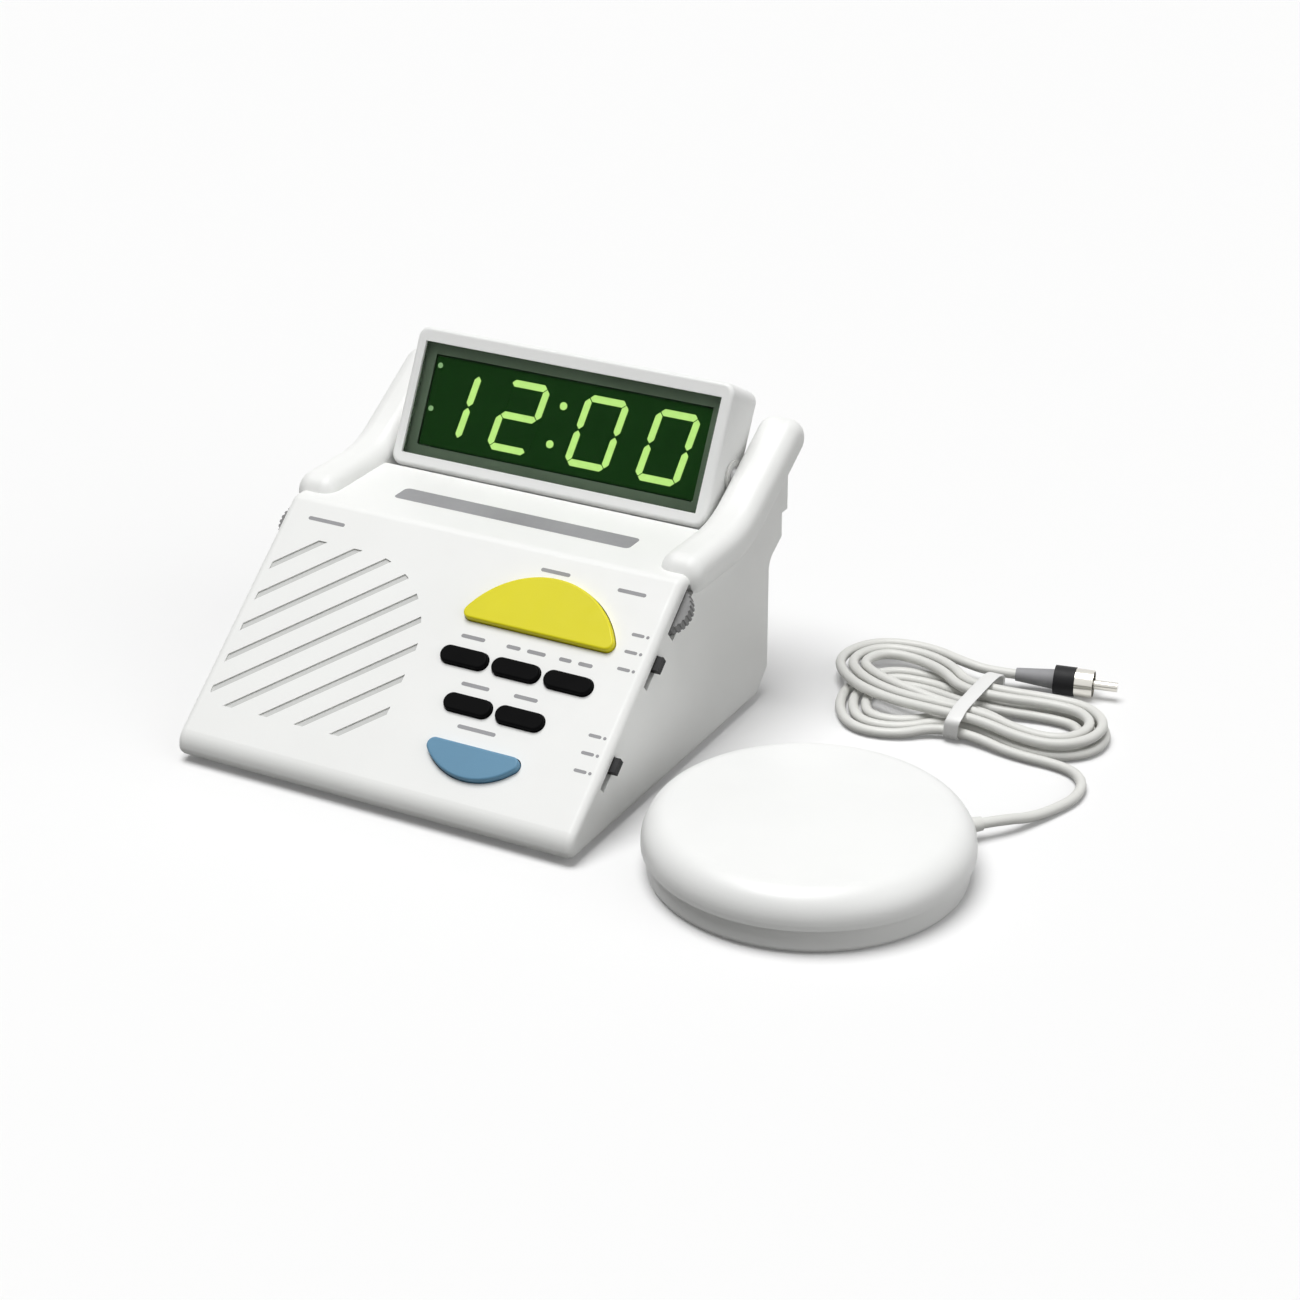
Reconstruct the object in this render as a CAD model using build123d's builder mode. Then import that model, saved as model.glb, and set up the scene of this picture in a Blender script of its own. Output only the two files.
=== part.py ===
from build123d import *
from math import cos, pi, radians, sin, sqrt, tan
import os

os.makedirs("parts", exist_ok=True)

# Clock with a bed shaker beside it. Millimetres, x to the right, y to the back, z up.
# The origin is on the table, under the middle of the clock.

# Clock body
WIDTH = 145.0
BACK_Y = 70.0
OVERHANG = 11.0
DECK_HEIGHT = 66.0
CREASE_Y = 7.4
PANEL_SLOPE = 39.0
TOE_HEIGHT = 8.6
TOE_ROUND_SHARE = 0.95
HOUSING_BOTTOM = 2.0
STEP_LIFT = 4.9
STEP_HEIGHT = 6.5
HEEL_HEIGHT = 9.5
HEEL_INSET = 8.5
WALL = 2.4
FRONT_CORNER = 2.0
BACK_CORNER = 5.0
EDGE_RADIUS = 3.0
STEP_RADIUS = 4.0
SIDE_EDGE = 2.6
FIT = 0.25

# Arms beside the display head
ARM_GAP = 0.9
ARM_WIDTH = 15.0
ARM_RADIUS = 6.6
ARM_ROUND = 5.2
ARM_NOSE_SETBACK = 10.6
ARM_NOSE_LIFT = -2.0
ARM_BEND_SETBACK = 18.0
ARM_BEND_RADIUS = 40.0
ARM_TIP_OVERHANG = 3.0
ARM_TIP_LIFT = 19.5

# Display head
HEAD_TILT = 28.0
WINDOW_WIDTH = 111.6
WINDOW_HEIGHT = 38.2
BEZEL_SIDE = 3.7
BEZEL_TOP = 5.1
BEZEL_BOTTOM = 4.4
HEAD_DEPTH = 20.0
HEAD_WALL = 2.0
HEAD_CORNER = 4.0
HEAD_EDGE = 1.6
BEZEL_DEPTH = 6.0
LENS_RECESS = 0.8
LENS_FLANGE = 1.4
LENS_THICKNESS = 1.6
LENS_GAP = 0.2
HEAD_BOSS_RADIUS = 3.5
HEAD_SCREW_SEAT = 11.0
PIVOT_SETBACK = 4.0
PIVOT_LIFT = 11.0
PIVOT_DEPTH = 12.99
PIVOT_DROP = 4.2
PIN_RADIUS = 3.0
PIN_RUNNING_GAP = 0.05
PIN_FLANGE_RADIUS = 4.4
PIN_FLANGE = 1.5
PIN_IN_ARM = 8.0
PIN_END_GAP = 0.2
PIVOT_BOSS_RADIUS = 4.6
PIVOT_BOSS_LENGTH = 6.0
WASHER_RADIUS = 5.2
WASHER_GAP = 0.1
WELL_CLEARANCE = 0.9

# Digits behind the window. Places across it are shares of its width, from its middle.
DIGIT_SHARES = (-0.389, -0.152, 0.115, 0.351)
DIGIT_WIDTH = 13.8
DIGIT_HEIGHT = 22.0
DIGIT_SLANT = 8.0
SEGMENT_WIDTH = 2.3
SEGMENT_GAP = 0.3
SEGMENT_THICKNESS = 0.3
COLON_SHARE = -0.021
COLON_RISE = 6.6
COLON_RADIUS = 1.3
INDICATOR_SHARE = -0.453
INDICATOR_RISES = (12.0, -2.8)
INDICATOR_RADIUS = 0.9
MODULE_SIDE_MARGIN = 3.6
MODULE_END_MARGIN = 4.1
MODULE_THICKNESS = 2.8
MODULE_DEPTH = 4.4
DISPLAY_BOARD_SIDE_MARGIN = 6.3
DISPLAY_BOARD_END_MARGIN = 2.1
BOARD_THICKNESS = 1.6
DISPLAY_POST_SIDE_INSET = 5.5
DISPLAY_POST_END_INSET = 5.0
PEG_RADIUS = 1.0
PEG_GAP = 0.1

# Keys on the sloping panel. Places down it are shares of its length, from the crease.
KEY_GAP = 0.3
KEY_FLANGE = 1.4
KEY_FLANGE_THICKNESS = 1.1
KEY_SEAT_GAP = 0.1
KEY_TRAVEL = 1.0
KEY_STOP_GAP = 0.1
KEY_STEM_RADIUS = 2.2
KEY_STEM_LENGTH = 0.8
KEY_EDGE = 0.7
SMALL_KEY_WIDTH = 16.8
SMALL_KEY_HEIGHT = 6.0
SMALL_KEY_PROUD = 1.6
SMALL_KEY_PITCH = 18.6
TOP_ROW_SHARE = 0.458
LOW_ROW_SHARE = 0.623
TOP_ROW_SHIFT = -4.7
LOW_ROW_SHIFT = -5.9
MOON_PROUD = 2.2
MOON_CORNER = 2.5
SNOOZE_SHIFT = -3.15
SNOOZE_SHARE = 0.3175
SNOOZE_WIDTH = 56.0
SNOOZE_HEIGHT = 19.6
SNOOZE_STEM_SHARE = 0.42
TEST_SHIFT = -6.15
TEST_SHARE = 0.764
TEST_WIDTH = 37.0
TEST_HEIGHT = 11.0
TEST_STEM_SHARE = 0.4
SWITCH_SIZE = 6.0
SWITCH_HEIGHT = 3.5
PLUNGER_RADIUS = 1.7
PLUNGER_HEIGHT = 1.0
KEYPAD_WIDTH = 62.0
KEYPAD_SHIFT = -6.25
KEYPAD_TOP_SHARE = 0.18
KEYPAD_LOW_SHARE = 0.86
KEYPAD_POST_SHARE = 0.369
KEYPAD_POST_REACH = 24.5
KEYPAD_LOW_POST_SHARE = 0.773
KEYPAD_LOW_POST_REACH = 26.5

# Speaker behind diagonal slots
SPEAKER_SHARE = 0.5
SPEAKER_RADIUS = 28.5
GRILLE_WIDTH = 63.6
GRILLE_HEIGHT = 63.0
GRILLE_CORNER = 5.0
GRILLE_SWEEP = 32.0
SLOT_WIDTH = 2.2
SLOT_PITCH = 8.8
SLOT_ANGLE = 40.5
SIDE_SLOT_COUNT = 4
GASKET = 1.0
GASKET_WIDTH = 3.5
SPEAKER_FLANGE = 1.8
SPEAKER_BACK_DEPTH = 17.0
SPEAKER_SKIN = 1.0
CONE_RADIUS = 24.0
CONE_APEX_RADIUS = 8.0
CONE_DEPTH = 11.0
MAGNET_RADIUS = 15.0
MAGNET_THICKNESS = 5.6
SPEAKER_BOSS_REACH = 3.2
SPEAKER_BOSS_ANGLE = 45.0

# Thumb wheels under the arm noses
WHEEL_RADIUS = 8.5
WHEEL_PROUD = 3.5
WHEEL_SHARE = 0.0813
WHEEL_DEPTH = 7.0
WHEEL_THICKNESS = 4.0
WHEEL_SLOT_GAP = 0.5
WHEEL_FLUTE_COUNT = 30
WHEEL_FLUTE_RADIUS = 0.45
WHEEL_SHAFT_RADIUS = 2.0
WHEEL_SHAFT_GAP = 0.05
WHEEL_FACE_GAP = 0.4
POT_HEIGHT = 3.6
POT_LENGTH = 10.6
POT_WIDTH = 11.0
POT_WALL_GAP = 0.3
WHEEL_BOARD_LENGTH = 22.0
WHEEL_BOARD_WIDTH = 14.0
WHEEL_POST_REACH = 18.5

# Slide switches on the right-hand side
SLIDER_SHARES = (0.2957, 0.682)
SLIDER_DEPTH = 5.0
SLIDER_LENGTH = 4.8
SLIDER_WIDTH = 2.6
SLIDER_TRAVEL = 6.0
SLIDER_PROUD = 2.2
SLIDER_GAP = 0.25
SLIDER_ROOT = 2.6
SLIDER_BODY_LENGTH = 19.0
SLIDER_BODY_WIDTH = 4.8
SLIDER_BODY_HEIGHT = 5.4

# Underside, boards and rear wall
OPENING_MARGIN = 4.5
OPENING_CORNER = 12.0
RIM_INSET = 6.6
RIM_WIDTH = 3.0
FOOT_RADIUS = 5.0
FOOT_INSET_X = 20.0
FOOT_INSET_Y = 20.0
VENT_LENGTH = 24.0
VENT_WIDTH = 2.0
VENT_PITCH = 6.0
VENT_COUNT = 9
BOSS_RADIUS = 4.0
BACK_BOSS_INSET = 8.0
BACK_BOSS_SETBACK = 26.0
FRONT_BOSS_INSET = 15.5
FRONT_BOSS_SETBACK = 7.8
SCREW_RADIUS = 1.3
SCREW_HEAD_RADIUS = 2.6
SCREW_HEAD_HEIGHT = 1.6
SCREW_BITE = 4.0
SMALL_SCREW_RADIUS = 1.0
SMALL_SCREW_HEAD_RADIUS = 1.9
SMALL_SCREW_HEAD_HEIGHT = 1.2
SMALL_SCREW_BITE = 4.0
WIDE_SCREW_HEAD_RADIUS = 4.4
PILOT_GAP = 0.06
PILOT_END = 0.5
SCREW_CLEARANCE = 0.2
POST_RADIUS = 2.4
MAIN_BOARD_LIFT = 5.6
MAIN_BOARD_INSET = 14.5
MAIN_BOARD_DEPTH = 58.0
MAIN_BOARD_SETBACK = 6.0
BOARD_POST_INSET = 6.0
BAY_X = -24.0
BAY_SIDE_ROOM = 1.1
BAY_HEAD_ROOM = 1.7
BAY_DOOR_ROOM = 0.4
BAY_WALL = 1.6
BAY_LIFT = 1.2
BATTERY_LENGTH = 48.5
BATTERY_HEIGHT = 26.5
BATTERY_THICKNESS = 17.5
BATTERY_GAP = 0.1
CLIP_THICKNESS = 5.2
CLIP_HEIGHT = 22.0
DOOR_THICKNESS = 2.2
DOOR_GAP = 0.25
DOOR_PIN_RADIUS = 0.8
DOOR_PIN_GAP = 0.05
DOOR_PIN_LENGTH = 1.4
DOOR_NOTCH = 12.0
DOOR_NOTCH_DEPTH = 1.1
SHAKER_JACK_X = 24.0
POWER_JACK_X = 41.0
JACK_WIDTH = 12.0
JACK_HEIGHT = 14.0
JACK_DEPTH = 11.0
PHONO_BARREL_RADIUS = 4.15
PHONO_BARREL_LENGTH = 8.0
PHONO_BORE_RADIUS = 1.7
PHONO_BORE_DEPTH = 16.0
POWER_BARREL_RADIUS = 4.3
POWER_BARREL_LENGTH = 0.6
POWER_BORE_RADIUS = 3.1
POWER_BORE_DEPTH = 9.0
POWER_PIN_RADIUS = 1.05
CHIP_HEIGHT = 2.0
CAPACITOR_RADIUS = 4.0
CAPACITOR_HEIGHT = 12.0

# Bed shaker
SHAKER_X = 134.3
SHAKER_Y = -29.4
SHAKER_RADIUS = 50.0
SHAKER_HEIGHT = 22.2
SHAKER_SPLIT = 8.6
SHAKER_CROWN = 3.7
SHAKER_ROUND = 9.5
SHAKER_BASE_INSET = 1.6
SHAKER_BASE_WALL = 3.0
SHAKER_BASE_EDGE = 2.0
SHAKER_WALL = 2.2
SHAKER_LIP_HEIGHT = 2.0
SHAKER_BOSS_RADIUS = 3.5
SHAKER_SCREW_CIRCLE = 38.0
SHAKER_SCREW_ANGLES = (100.0, 220.0, 340.0)
SHAKER_SCREW_RECESS = 1.8
MOTOR_RADIUS = 7.2
MOTOR_LENGTH = 30.0
MOTOR_LIFT = 0.5
MOTOR_OFFSET = -9.0
MOTOR_FIT = 0.05
SADDLE_WIDTH = 5.0
SADDLE_REACH = 10.0
SADDLE_HEIGHT = 4.0
STRAP_WIDTH = 6.0
STRAP_THICKNESS = 1.4
STRAP_LIFT = 5.0
STRAP_POST_RADIUS = 3.0
SHAFT_RADIUS = 1.15
SHAFT_GAP = 0.05
SHAFT_IN_MOTOR = 9.0
SHAFT_END = 1.0
WEIGHT_RADIUS = 6.7
WEIGHT_HUB_RADIUS = 2.6
WEIGHT_LENGTH = 12.0
WEIGHT_GAP = 1.5
WEIGHT_FIT = 0.01

# Shaker cord, its hank and its plug
CORD_RADIUS = 1.7
CORD_EXIT_ANGLE = 47.0
CORD_EXIT_Z = 5.2
CORD_ON_TABLE_Z = 1.75
RELIEF_LENGTH = 8.0
RELIEF_RADIUS = 2.8
RELIEF_TIP_RADIUS = 2.2
RELIEF_FIT = 0.05
LEAD_STRAIGHT = 8.0
LEAD_END_STRAIGHT = 9.0
# Bow of the lead: share of the way to the hank, distance aside and height over the table
LEAD_BOW = (
    (0.198, 4.26, 2.6),
    (0.440, 8.21, CORD_ON_TABLE_Z),
    (0.646, 10.47, CORD_ON_TABLE_Z),
    (0.868, 8.07, CORD_ON_TABLE_Z),
)
TAIL_STRAIGHT = 7.0
# Steps of the tail to the plug, over and away from the end of the hank
TAIL_STEPS = ((14.1, -1.3), (22.1, 0.3))
BEND_SHARE = 0.45
HANK_X = 140.5
HANK_Y = 84.0
HANK_LAYER_TURN_COUNT = 3
HANK_CLIMB_SHARE = 0.25
HANK_LAYER_RISE = 4.2
HANK_PITCH = 4.2
HANK_WAIST_PITCH = 4.8
HANK_WAIST_HALF_WIDTH = 17.0
HANK_RIGHT_END = 48.0
HANK_RIGHT_HALF_WIDTH = 20.0
# Left-hand end of each layer, the lower one first: the loops fan out to either side
LOBE_LENGTHS = (46.0, 57.0)
LOBE_SHOULDERS = (27.0, 30.0)
LOBE_HALF_WIDTHS = (24.5, 22.5)
LOBE_ANGLES = (8.0, -19.0)
LOBE_PITCH = 5.0
TIE_WIDTH = 5.0
TIE_THICKNESS = 0.8
TIE_GAP = 0.3
TIE_CORNER = 3.0
PLUG_RELIEF_LENGTH = 13.0
PLUG_RELIEF_RADIUS = 3.4
PLUG_BODY_RADIUS = 4.9
PLUG_BODY_LENGTH = 7.0
PLUG_RING_RADIUS = 4.7
PLUG_RING_LENGTH = 6.0
PLUG_RING_BORE = 4.3
PLUG_PIN_RADIUS = 1.6
PLUG_PIN_LENGTH = 14.0
PLUG_Z = 4.95

# Values worked out from the sizes above
HALF_WIDTH = WIDTH / 2
SHOULDER_Y = BACK_Y + OVERHANG
HEEL_Y = BACK_Y - HEEL_INSET
TRAY_TOP = HOUSING_BOTTOM + WALL
CEILING = DECK_HEIGHT - WALL
INNER_X = HALF_WIDTH - WALL
MAIN_BOARD_Z = TRAY_TOP + MAIN_BOARD_LIFT
MAIN_BOARD_TOP = MAIN_BOARD_Z + BOARD_THICKNESS
BAY_WIDTH = BATTERY_LENGTH + CLIP_THICKNESS + BAY_SIDE_ROOM
BAY_HEIGHT = BATTERY_HEIGHT + BAY_HEAD_ROOM
BAY_DEPTH = DOOR_THICKNESS + BATTERY_THICKNESS + BAY_DOOR_ROOM
BAY_BOTTOM = MAIN_BOARD_TOP + BAY_LIFT + BAY_WALL
BAY_TOP = BAY_BOTTOM + BAY_HEIGHT
STEP_BOTTOM = BAY_TOP + STEP_LIFT
STEP_TOP = STEP_BOTTOM + STEP_HEIGHT
PANEL_COS = cos(radians(PANEL_SLOPE))
PANEL_SIN = sin(radians(PANEL_SLOPE))
PANEL_LENGTH = (DECK_HEIGHT - TOE_HEIGHT) / PANEL_SIN
FRONT_Y = CREASE_Y - PANEL_LENGTH * PANEL_COS
TOE_ROUND_ROOM = TOE_HEIGHT - HOUSING_BOTTOM - EDGE_RADIUS
TOE_RADIUS = TOE_ROUND_SHARE * TOE_ROUND_ROOM / tan(radians((90 - PANEL_SLOPE) / 2))
PIVOT_Y = BACK_Y - PIVOT_SETBACK
PIVOT_Z = DECK_HEIGHT + PIVOT_LIFT
HEAD_COS = cos(radians(HEAD_TILT))
HEAD_SIN = sin(radians(HEAD_TILT))
HEAD_HALF_WIDTH = WINDOW_WIDTH / 2 + BEZEL_SIDE
HEAD_TOP = WINDOW_HEIGHT / 2 + BEZEL_TOP
HEAD_BOTTOM = -WINDOW_HEIGHT / 2 - BEZEL_BOTTOM
HEAD_HEIGHT = HEAD_TOP - HEAD_BOTTOM
HEAD_MIDDLE = (HEAD_TOP + HEAD_BOTTOM) / 2
ARM_INNER_X = HEAD_HALF_WIDTH + ARM_GAP
ARM_NOSE_Y = CREASE_Y + ARM_NOSE_SETBACK
ARM_NOSE_Z = DECK_HEIGHT + ARM_NOSE_LIFT
ARM_FOOT_Z = ARM_NOSE_Z - ARM_RADIUS / 4
ARM_BEND_Y = PIVOT_Y - ARM_BEND_SETBACK
ARM_TIP_Y = SHOULDER_Y + ARM_TIP_OVERHANG
ARM_TIP_Z = DECK_HEIGHT + ARM_TIP_LIFT
WELL_RADIUS = sqrt((HEAD_BOTTOM + PIVOT_DROP) ** 2 + PIVOT_DEPTH**2) + WELL_CLEARANCE

panel_plane = Plane(
    origin=(0, CREASE_Y, DECK_HEIGHT), x_dir=(1, 0, 0), z_dir=(0, -PANEL_SIN, PANEL_COS)
)
panel_axis = Axis(panel_plane.origin, panel_plane.z_dir)
pivot = Vector(0, PIVOT_Y, PIVOT_Z)
head_normal = Vector(0, -HEAD_COS, HEAD_SIN)
head_rise = Vector(0, HEAD_SIN, HEAD_COS)
head_origin = pivot + head_normal * PIVOT_DEPTH + head_rise * PIVOT_DROP
head_axis = Axis(head_origin, head_normal)


def on_panel(x, drop, depth):
    """Plane facing out of the panel, at a place across and down it and a depth behind its face."""
    origin = panel_plane.from_local_coords(Vector(x, -drop, -depth))
    return Plane(origin=origin, x_dir=panel_plane.x_dir, z_dir=panel_plane.z_dir)


def behind_panel(x, drop, depth):
    """Plane at the same place, facing into the clock."""
    origin = panel_plane.from_local_coords(Vector(x, -drop, -depth))
    return Plane(origin=origin, x_dir=panel_plane.x_dir, z_dir=-panel_plane.z_dir)


def on_head(x, rise, depth):
    """Plane facing out of the head, at a place on its face and a depth behind it."""
    origin = head_origin + Vector(x, 0, 0) + head_rise * rise - head_normal * depth
    return Plane(origin=origin, x_dir=(1, 0, 0), z_dir=head_normal)


def behind_head(x, rise, depth):
    """Plane at the same place, facing out of the back of the head."""
    origin = head_origin + Vector(x, 0, 0) + head_rise * rise - head_normal * depth
    return Plane(origin=origin, x_dir=(1, 0, 0), z_dir=-head_normal)


def on_back(x, z, out):
    """Plane facing out of the rear wall, at a place on it and a distance behind the clock."""
    return Plane(origin=(x, BACK_Y + out, z), x_dir=(-1, 0, 0), z_dir=(0, 1, 0))


def across(x, y, z):
    """Plane facing along x, with y across it and z up it."""
    return Plane(origin=(x, y, z), x_dir=(0, 1, 0), z_dir=(1, 0, 0))


def screw(seat, bite, radius, head_radius, head_height):
    """Screw whose head stands on the seat and whose shank goes behind it."""
    with BuildSketch(seat) as head:
        Circle(head_radius)
    extrude(head.sketch, amount=head_height)
    with BuildSketch(seat) as shank:
        Circle(radius)
    extrude(shank.sketch, amount=-bite)


# Outlines of the clock body, from the side and from above


def side_outline():
    with BuildLine() as outline:
        FilletPolyline(
            (FRONT_Y, HOUSING_BOTTOM),
            (FRONT_Y, TOE_HEIGHT),
            (CREASE_Y, DECK_HEIGHT),
            (SHOULDER_Y, DECK_HEIGHT),
            (SHOULDER_Y, STEP_TOP),
            (BACK_Y, STEP_BOTTOM),
            (BACK_Y, HEEL_HEIGHT),
            (HEEL_Y, HOUSING_BOTTOM),
            radius=(
                EDGE_RADIUS,
                TOE_RADIUS,
                STEP_RADIUS,
                EDGE_RADIUS,
                STEP_RADIUS,
                STEP_RADIUS,
                STEP_RADIUS,
                EDGE_RADIUS,
            ),
            close=True,
        )
    make_face(outline.edges())


def plan_outline():
    with BuildLine() as outline:
        FilletPolyline(
            (-HALF_WIDTH, FRONT_Y),
            (HALF_WIDTH, FRONT_Y),
            (HALF_WIDTH, SHOULDER_Y),
            (-HALF_WIDTH, SHOULDER_Y),
            radius=(FRONT_CORNER, FRONT_CORNER, BACK_CORNER, BACK_CORNER),
            close=True,
        )
    make_face(outline.edges())


OPENING_FRONT = FRONT_Y + OPENING_MARGIN
OPENING_BACK = HEEL_Y - OPENING_MARGIN
OPENING_HALF_WIDTH = HALF_WIDTH - OPENING_MARGIN
OPENING_MIDDLE = (OPENING_FRONT + OPENING_BACK) / 2


def base_outline(inset, mode=Mode.ADD):
    with Locations((0, OPENING_MIDDLE)):
        RectangleRounded(
            2 * (OPENING_HALF_WIDTH - inset),
            OPENING_BACK - OPENING_FRONT - 2 * inset,
            OPENING_CORNER - inset,
            mode=mode,
        )


# Key shapes, drawn about each key's own plane


def half_moon(width, height, grow):
    with BuildLine() as outline:
        Line((-width / 2, 0), (width / 2, 0))
        ThreePointArc((width / 2, 0), (0, height), (-width / 2, 0))
    make_face(outline.edges())
    offset(amount=-MOON_CORNER)
    offset(amount=MOON_CORNER + grow)


def snooze_shape(grow):
    half_moon(SNOOZE_WIDTH, SNOOZE_HEIGHT, grow)


def test_shape(grow):
    half_moon(TEST_WIDTH, -TEST_HEIGHT, grow)


def small_key_shape(grow):
    SlotOverall(SMALL_KEY_WIDTH + 2 * grow, SMALL_KEY_HEIGHT + 2 * grow)


def snooze_flange():
    snooze_shape(KEY_FLANGE)


def test_flange():
    test_shape(KEY_FLANGE)


def small_key_flange():
    Rectangle(SMALL_KEY_WIDTH - SMALL_KEY_HEIGHT, SMALL_KEY_HEIGHT + 2 * KEY_FLANGE)


KEY_MIDDLE_X = HALF_WIDTH / 2
TOP_ROW_X = KEY_MIDDLE_X + TOP_ROW_SHIFT
LOW_ROW_X = KEY_MIDDLE_X + LOW_ROW_SHIFT
SNOOZE_X = KEY_MIDDLE_X + SNOOZE_SHIFT
TEST_X = KEY_MIDDLE_X + TEST_SHIFT
TOP_ROW_DROP = TOP_ROW_SHARE * PANEL_LENGTH
LOW_ROW_DROP = LOW_ROW_SHARE * PANEL_LENGTH
SNOOZE_DROP = SNOOZE_SHARE * PANEL_LENGTH
TEST_DROP = TEST_SHARE * PANEL_LENGTH
SNOOZE_STEM_RISE = SNOOZE_STEM_SHARE * SNOOZE_HEIGHT
TEST_STEM_RISE = -TEST_STEM_SHARE * TEST_HEIGHT
SNOOZE_FORM = (snooze_shape, snooze_flange, MOON_PROUD)
TEST_FORM = (test_shape, test_flange, MOON_PROUD)
SMALL_FORM = (small_key_shape, small_key_flange, SMALL_KEY_PROUD)

# Name, x, drop, form and the height of the stem from the key's own origin
KEYS = (
    ("snooze_button", SNOOZE_X, SNOOZE_DROP, SNOOZE_FORM, SNOOZE_STEM_RISE),
    ("top_left_key", TOP_ROW_X - SMALL_KEY_PITCH, TOP_ROW_DROP, SMALL_FORM, 0),
    ("top_middle_key", TOP_ROW_X, TOP_ROW_DROP, SMALL_FORM, 0),
    ("top_right_key", TOP_ROW_X + SMALL_KEY_PITCH, TOP_ROW_DROP, SMALL_FORM, 0),
    ("low_left_key", LOW_ROW_X - SMALL_KEY_PITCH / 2, LOW_ROW_DROP, SMALL_FORM, 0),
    ("low_right_key", LOW_ROW_X + SMALL_KEY_PITCH / 2, LOW_ROW_DROP, SMALL_FORM, 0),
    ("test_button", TEST_X, TEST_DROP, TEST_FORM, TEST_STEM_RISE),
)

# Depths behind the panel's face
FLANGE_TOP = WALL + KEY_SEAT_GAP
FLANGE_BOTTOM = FLANGE_TOP + KEY_FLANGE_THICKNESS
STEM_BOTTOM = FLANGE_BOTTOM + KEY_STEM_LENGTH
PLUNGER_TOP = STEM_BOTTOM + KEY_TRAVEL + KEY_STOP_GAP
SWITCH_TOP = PLUNGER_TOP + PLUNGER_HEIGHT
KEYPAD_DEPTH = SWITCH_TOP + SWITCH_HEIGHT
KEYPAD_BACK = KEYPAD_DEPTH + BOARD_THICKNESS
POT_DEPTH = WHEEL_DEPTH + WHEEL_THICKNESS / 2 + WHEEL_FACE_GAP
WHEEL_BOARD_DEPTH = POT_DEPTH + POT_HEIGHT
WHEEL_BOARD_BACK = WHEEL_BOARD_DEPTH + BOARD_THICKNESS
SPEAKER_FRONT = WALL + GASKET
SPEAKER_FLANGE_BACK = SPEAKER_FRONT + SPEAKER_FLANGE

# Places of the posts and bosses
KEYPAD_X = KEY_MIDDLE_X + KEYPAD_SHIFT
KEYPAD_TOP = KEYPAD_TOP_SHARE * PANEL_LENGTH
KEYPAD_LOW = KEYPAD_LOW_SHARE * PANEL_LENGTH
KEYPAD_POST_DROP = KEYPAD_POST_SHARE * PANEL_LENGTH
KEYPAD_LOW_POST_DROP = KEYPAD_LOW_POST_SHARE * PANEL_LENGTH
KEYPAD_POSTS = (
    (KEYPAD_X - KEYPAD_POST_REACH, KEYPAD_POST_DROP),
    (KEYPAD_X + KEYPAD_POST_REACH, KEYPAD_POST_DROP),
    (KEYPAD_X - KEYPAD_LOW_POST_REACH, KEYPAD_LOW_POST_DROP),
    (KEYPAD_X + KEYPAD_LOW_POST_REACH, KEYPAD_LOW_POST_DROP),
)
WHEEL_X = HALF_WIDTH + WHEEL_PROUD - WHEEL_RADIUS
WHEEL_DROP = WHEEL_SHARE * PANEL_LENGTH
POT_X = INNER_X - POT_WALL_GAP - POT_LENGTH / 2
WHEEL_BOARD_X = INNER_X - POT_WALL_GAP - WHEEL_BOARD_LENGTH / 2
WHEEL_POST_X = INNER_X - WHEEL_POST_REACH
WHEEL_POSTS = ((-WHEEL_POST_X, WHEEL_DROP), (WHEEL_POST_X, WHEEL_DROP))
SPEAKER_X = -HALF_WIDTH / 2
SPEAKER_DROP = SPEAKER_SHARE * PANEL_LENGTH
SPEAKER_BOLT_ARM = (SPEAKER_RADIUS + SPEAKER_BOSS_REACH) * cos(radians(SPEAKER_BOSS_ANGLE))
SPEAKER_POSTS = tuple(
    (SPEAKER_X + side * SPEAKER_BOLT_ARM, SPEAKER_DROP + end * SPEAKER_BOLT_ARM)
    for side in (-1, 1)
    for end in (-1, 1)
)
BACK_BOSS_X = HALF_WIDTH - BACK_BOSS_INSET
BACK_BOSS_Y = BACK_Y - BACK_BOSS_SETBACK
FRONT_BOSS_X = HALF_WIDTH - FRONT_BOSS_INSET
FRONT_BOSS_Y = FRONT_Y + FRONT_BOSS_SETBACK
FRONT_BOSS_RISE = (FRONT_BOSS_SETBACK - BOSS_RADIUS) * PANEL_SIN / PANEL_COS
FRONT_BOSS_TOP = TOE_HEIGHT + FRONT_BOSS_RISE - WALL / 2
BACK_BOSSES = ((-BACK_BOSS_X, BACK_BOSS_Y), (BACK_BOSS_X, BACK_BOSS_Y))
FRONT_BOSSES = ((-FRONT_BOSS_X, FRONT_BOSS_Y), (FRONT_BOSS_X, FRONT_BOSS_Y))
MAIN_BOARD_HALF_WIDTH = HALF_WIDTH - MAIN_BOARD_INSET
MAIN_BOARD_BACK = BACK_Y - MAIN_BOARD_SETBACK
MAIN_BOARD_FRONT = MAIN_BOARD_BACK - MAIN_BOARD_DEPTH
MAIN_BOARD_MIDDLE = (MAIN_BOARD_FRONT + MAIN_BOARD_BACK) / 2
BOARD_POST_X = MAIN_BOARD_HALF_WIDTH - BOARD_POST_INSET
BOARD_POSTS = tuple(
    (side * BOARD_POST_X, y)
    for side in (-1, 1)
    for y in (MAIN_BOARD_FRONT + BOARD_POST_INSET, MAIN_BOARD_BACK - BOARD_POST_INSET)
)
HINGE_Y = BACK_Y - DOOR_THICKNESS / 2
HINGE_Z = BAY_BOTTOM + DOOR_GAP + DOOR_THICKNESS / 2
JACK_Z = MAIN_BOARD_TOP + JACK_HEIGHT / 2
DOOR_HALF_WIDTH = BAY_WIDTH / 2 - DOOR_GAP

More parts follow.
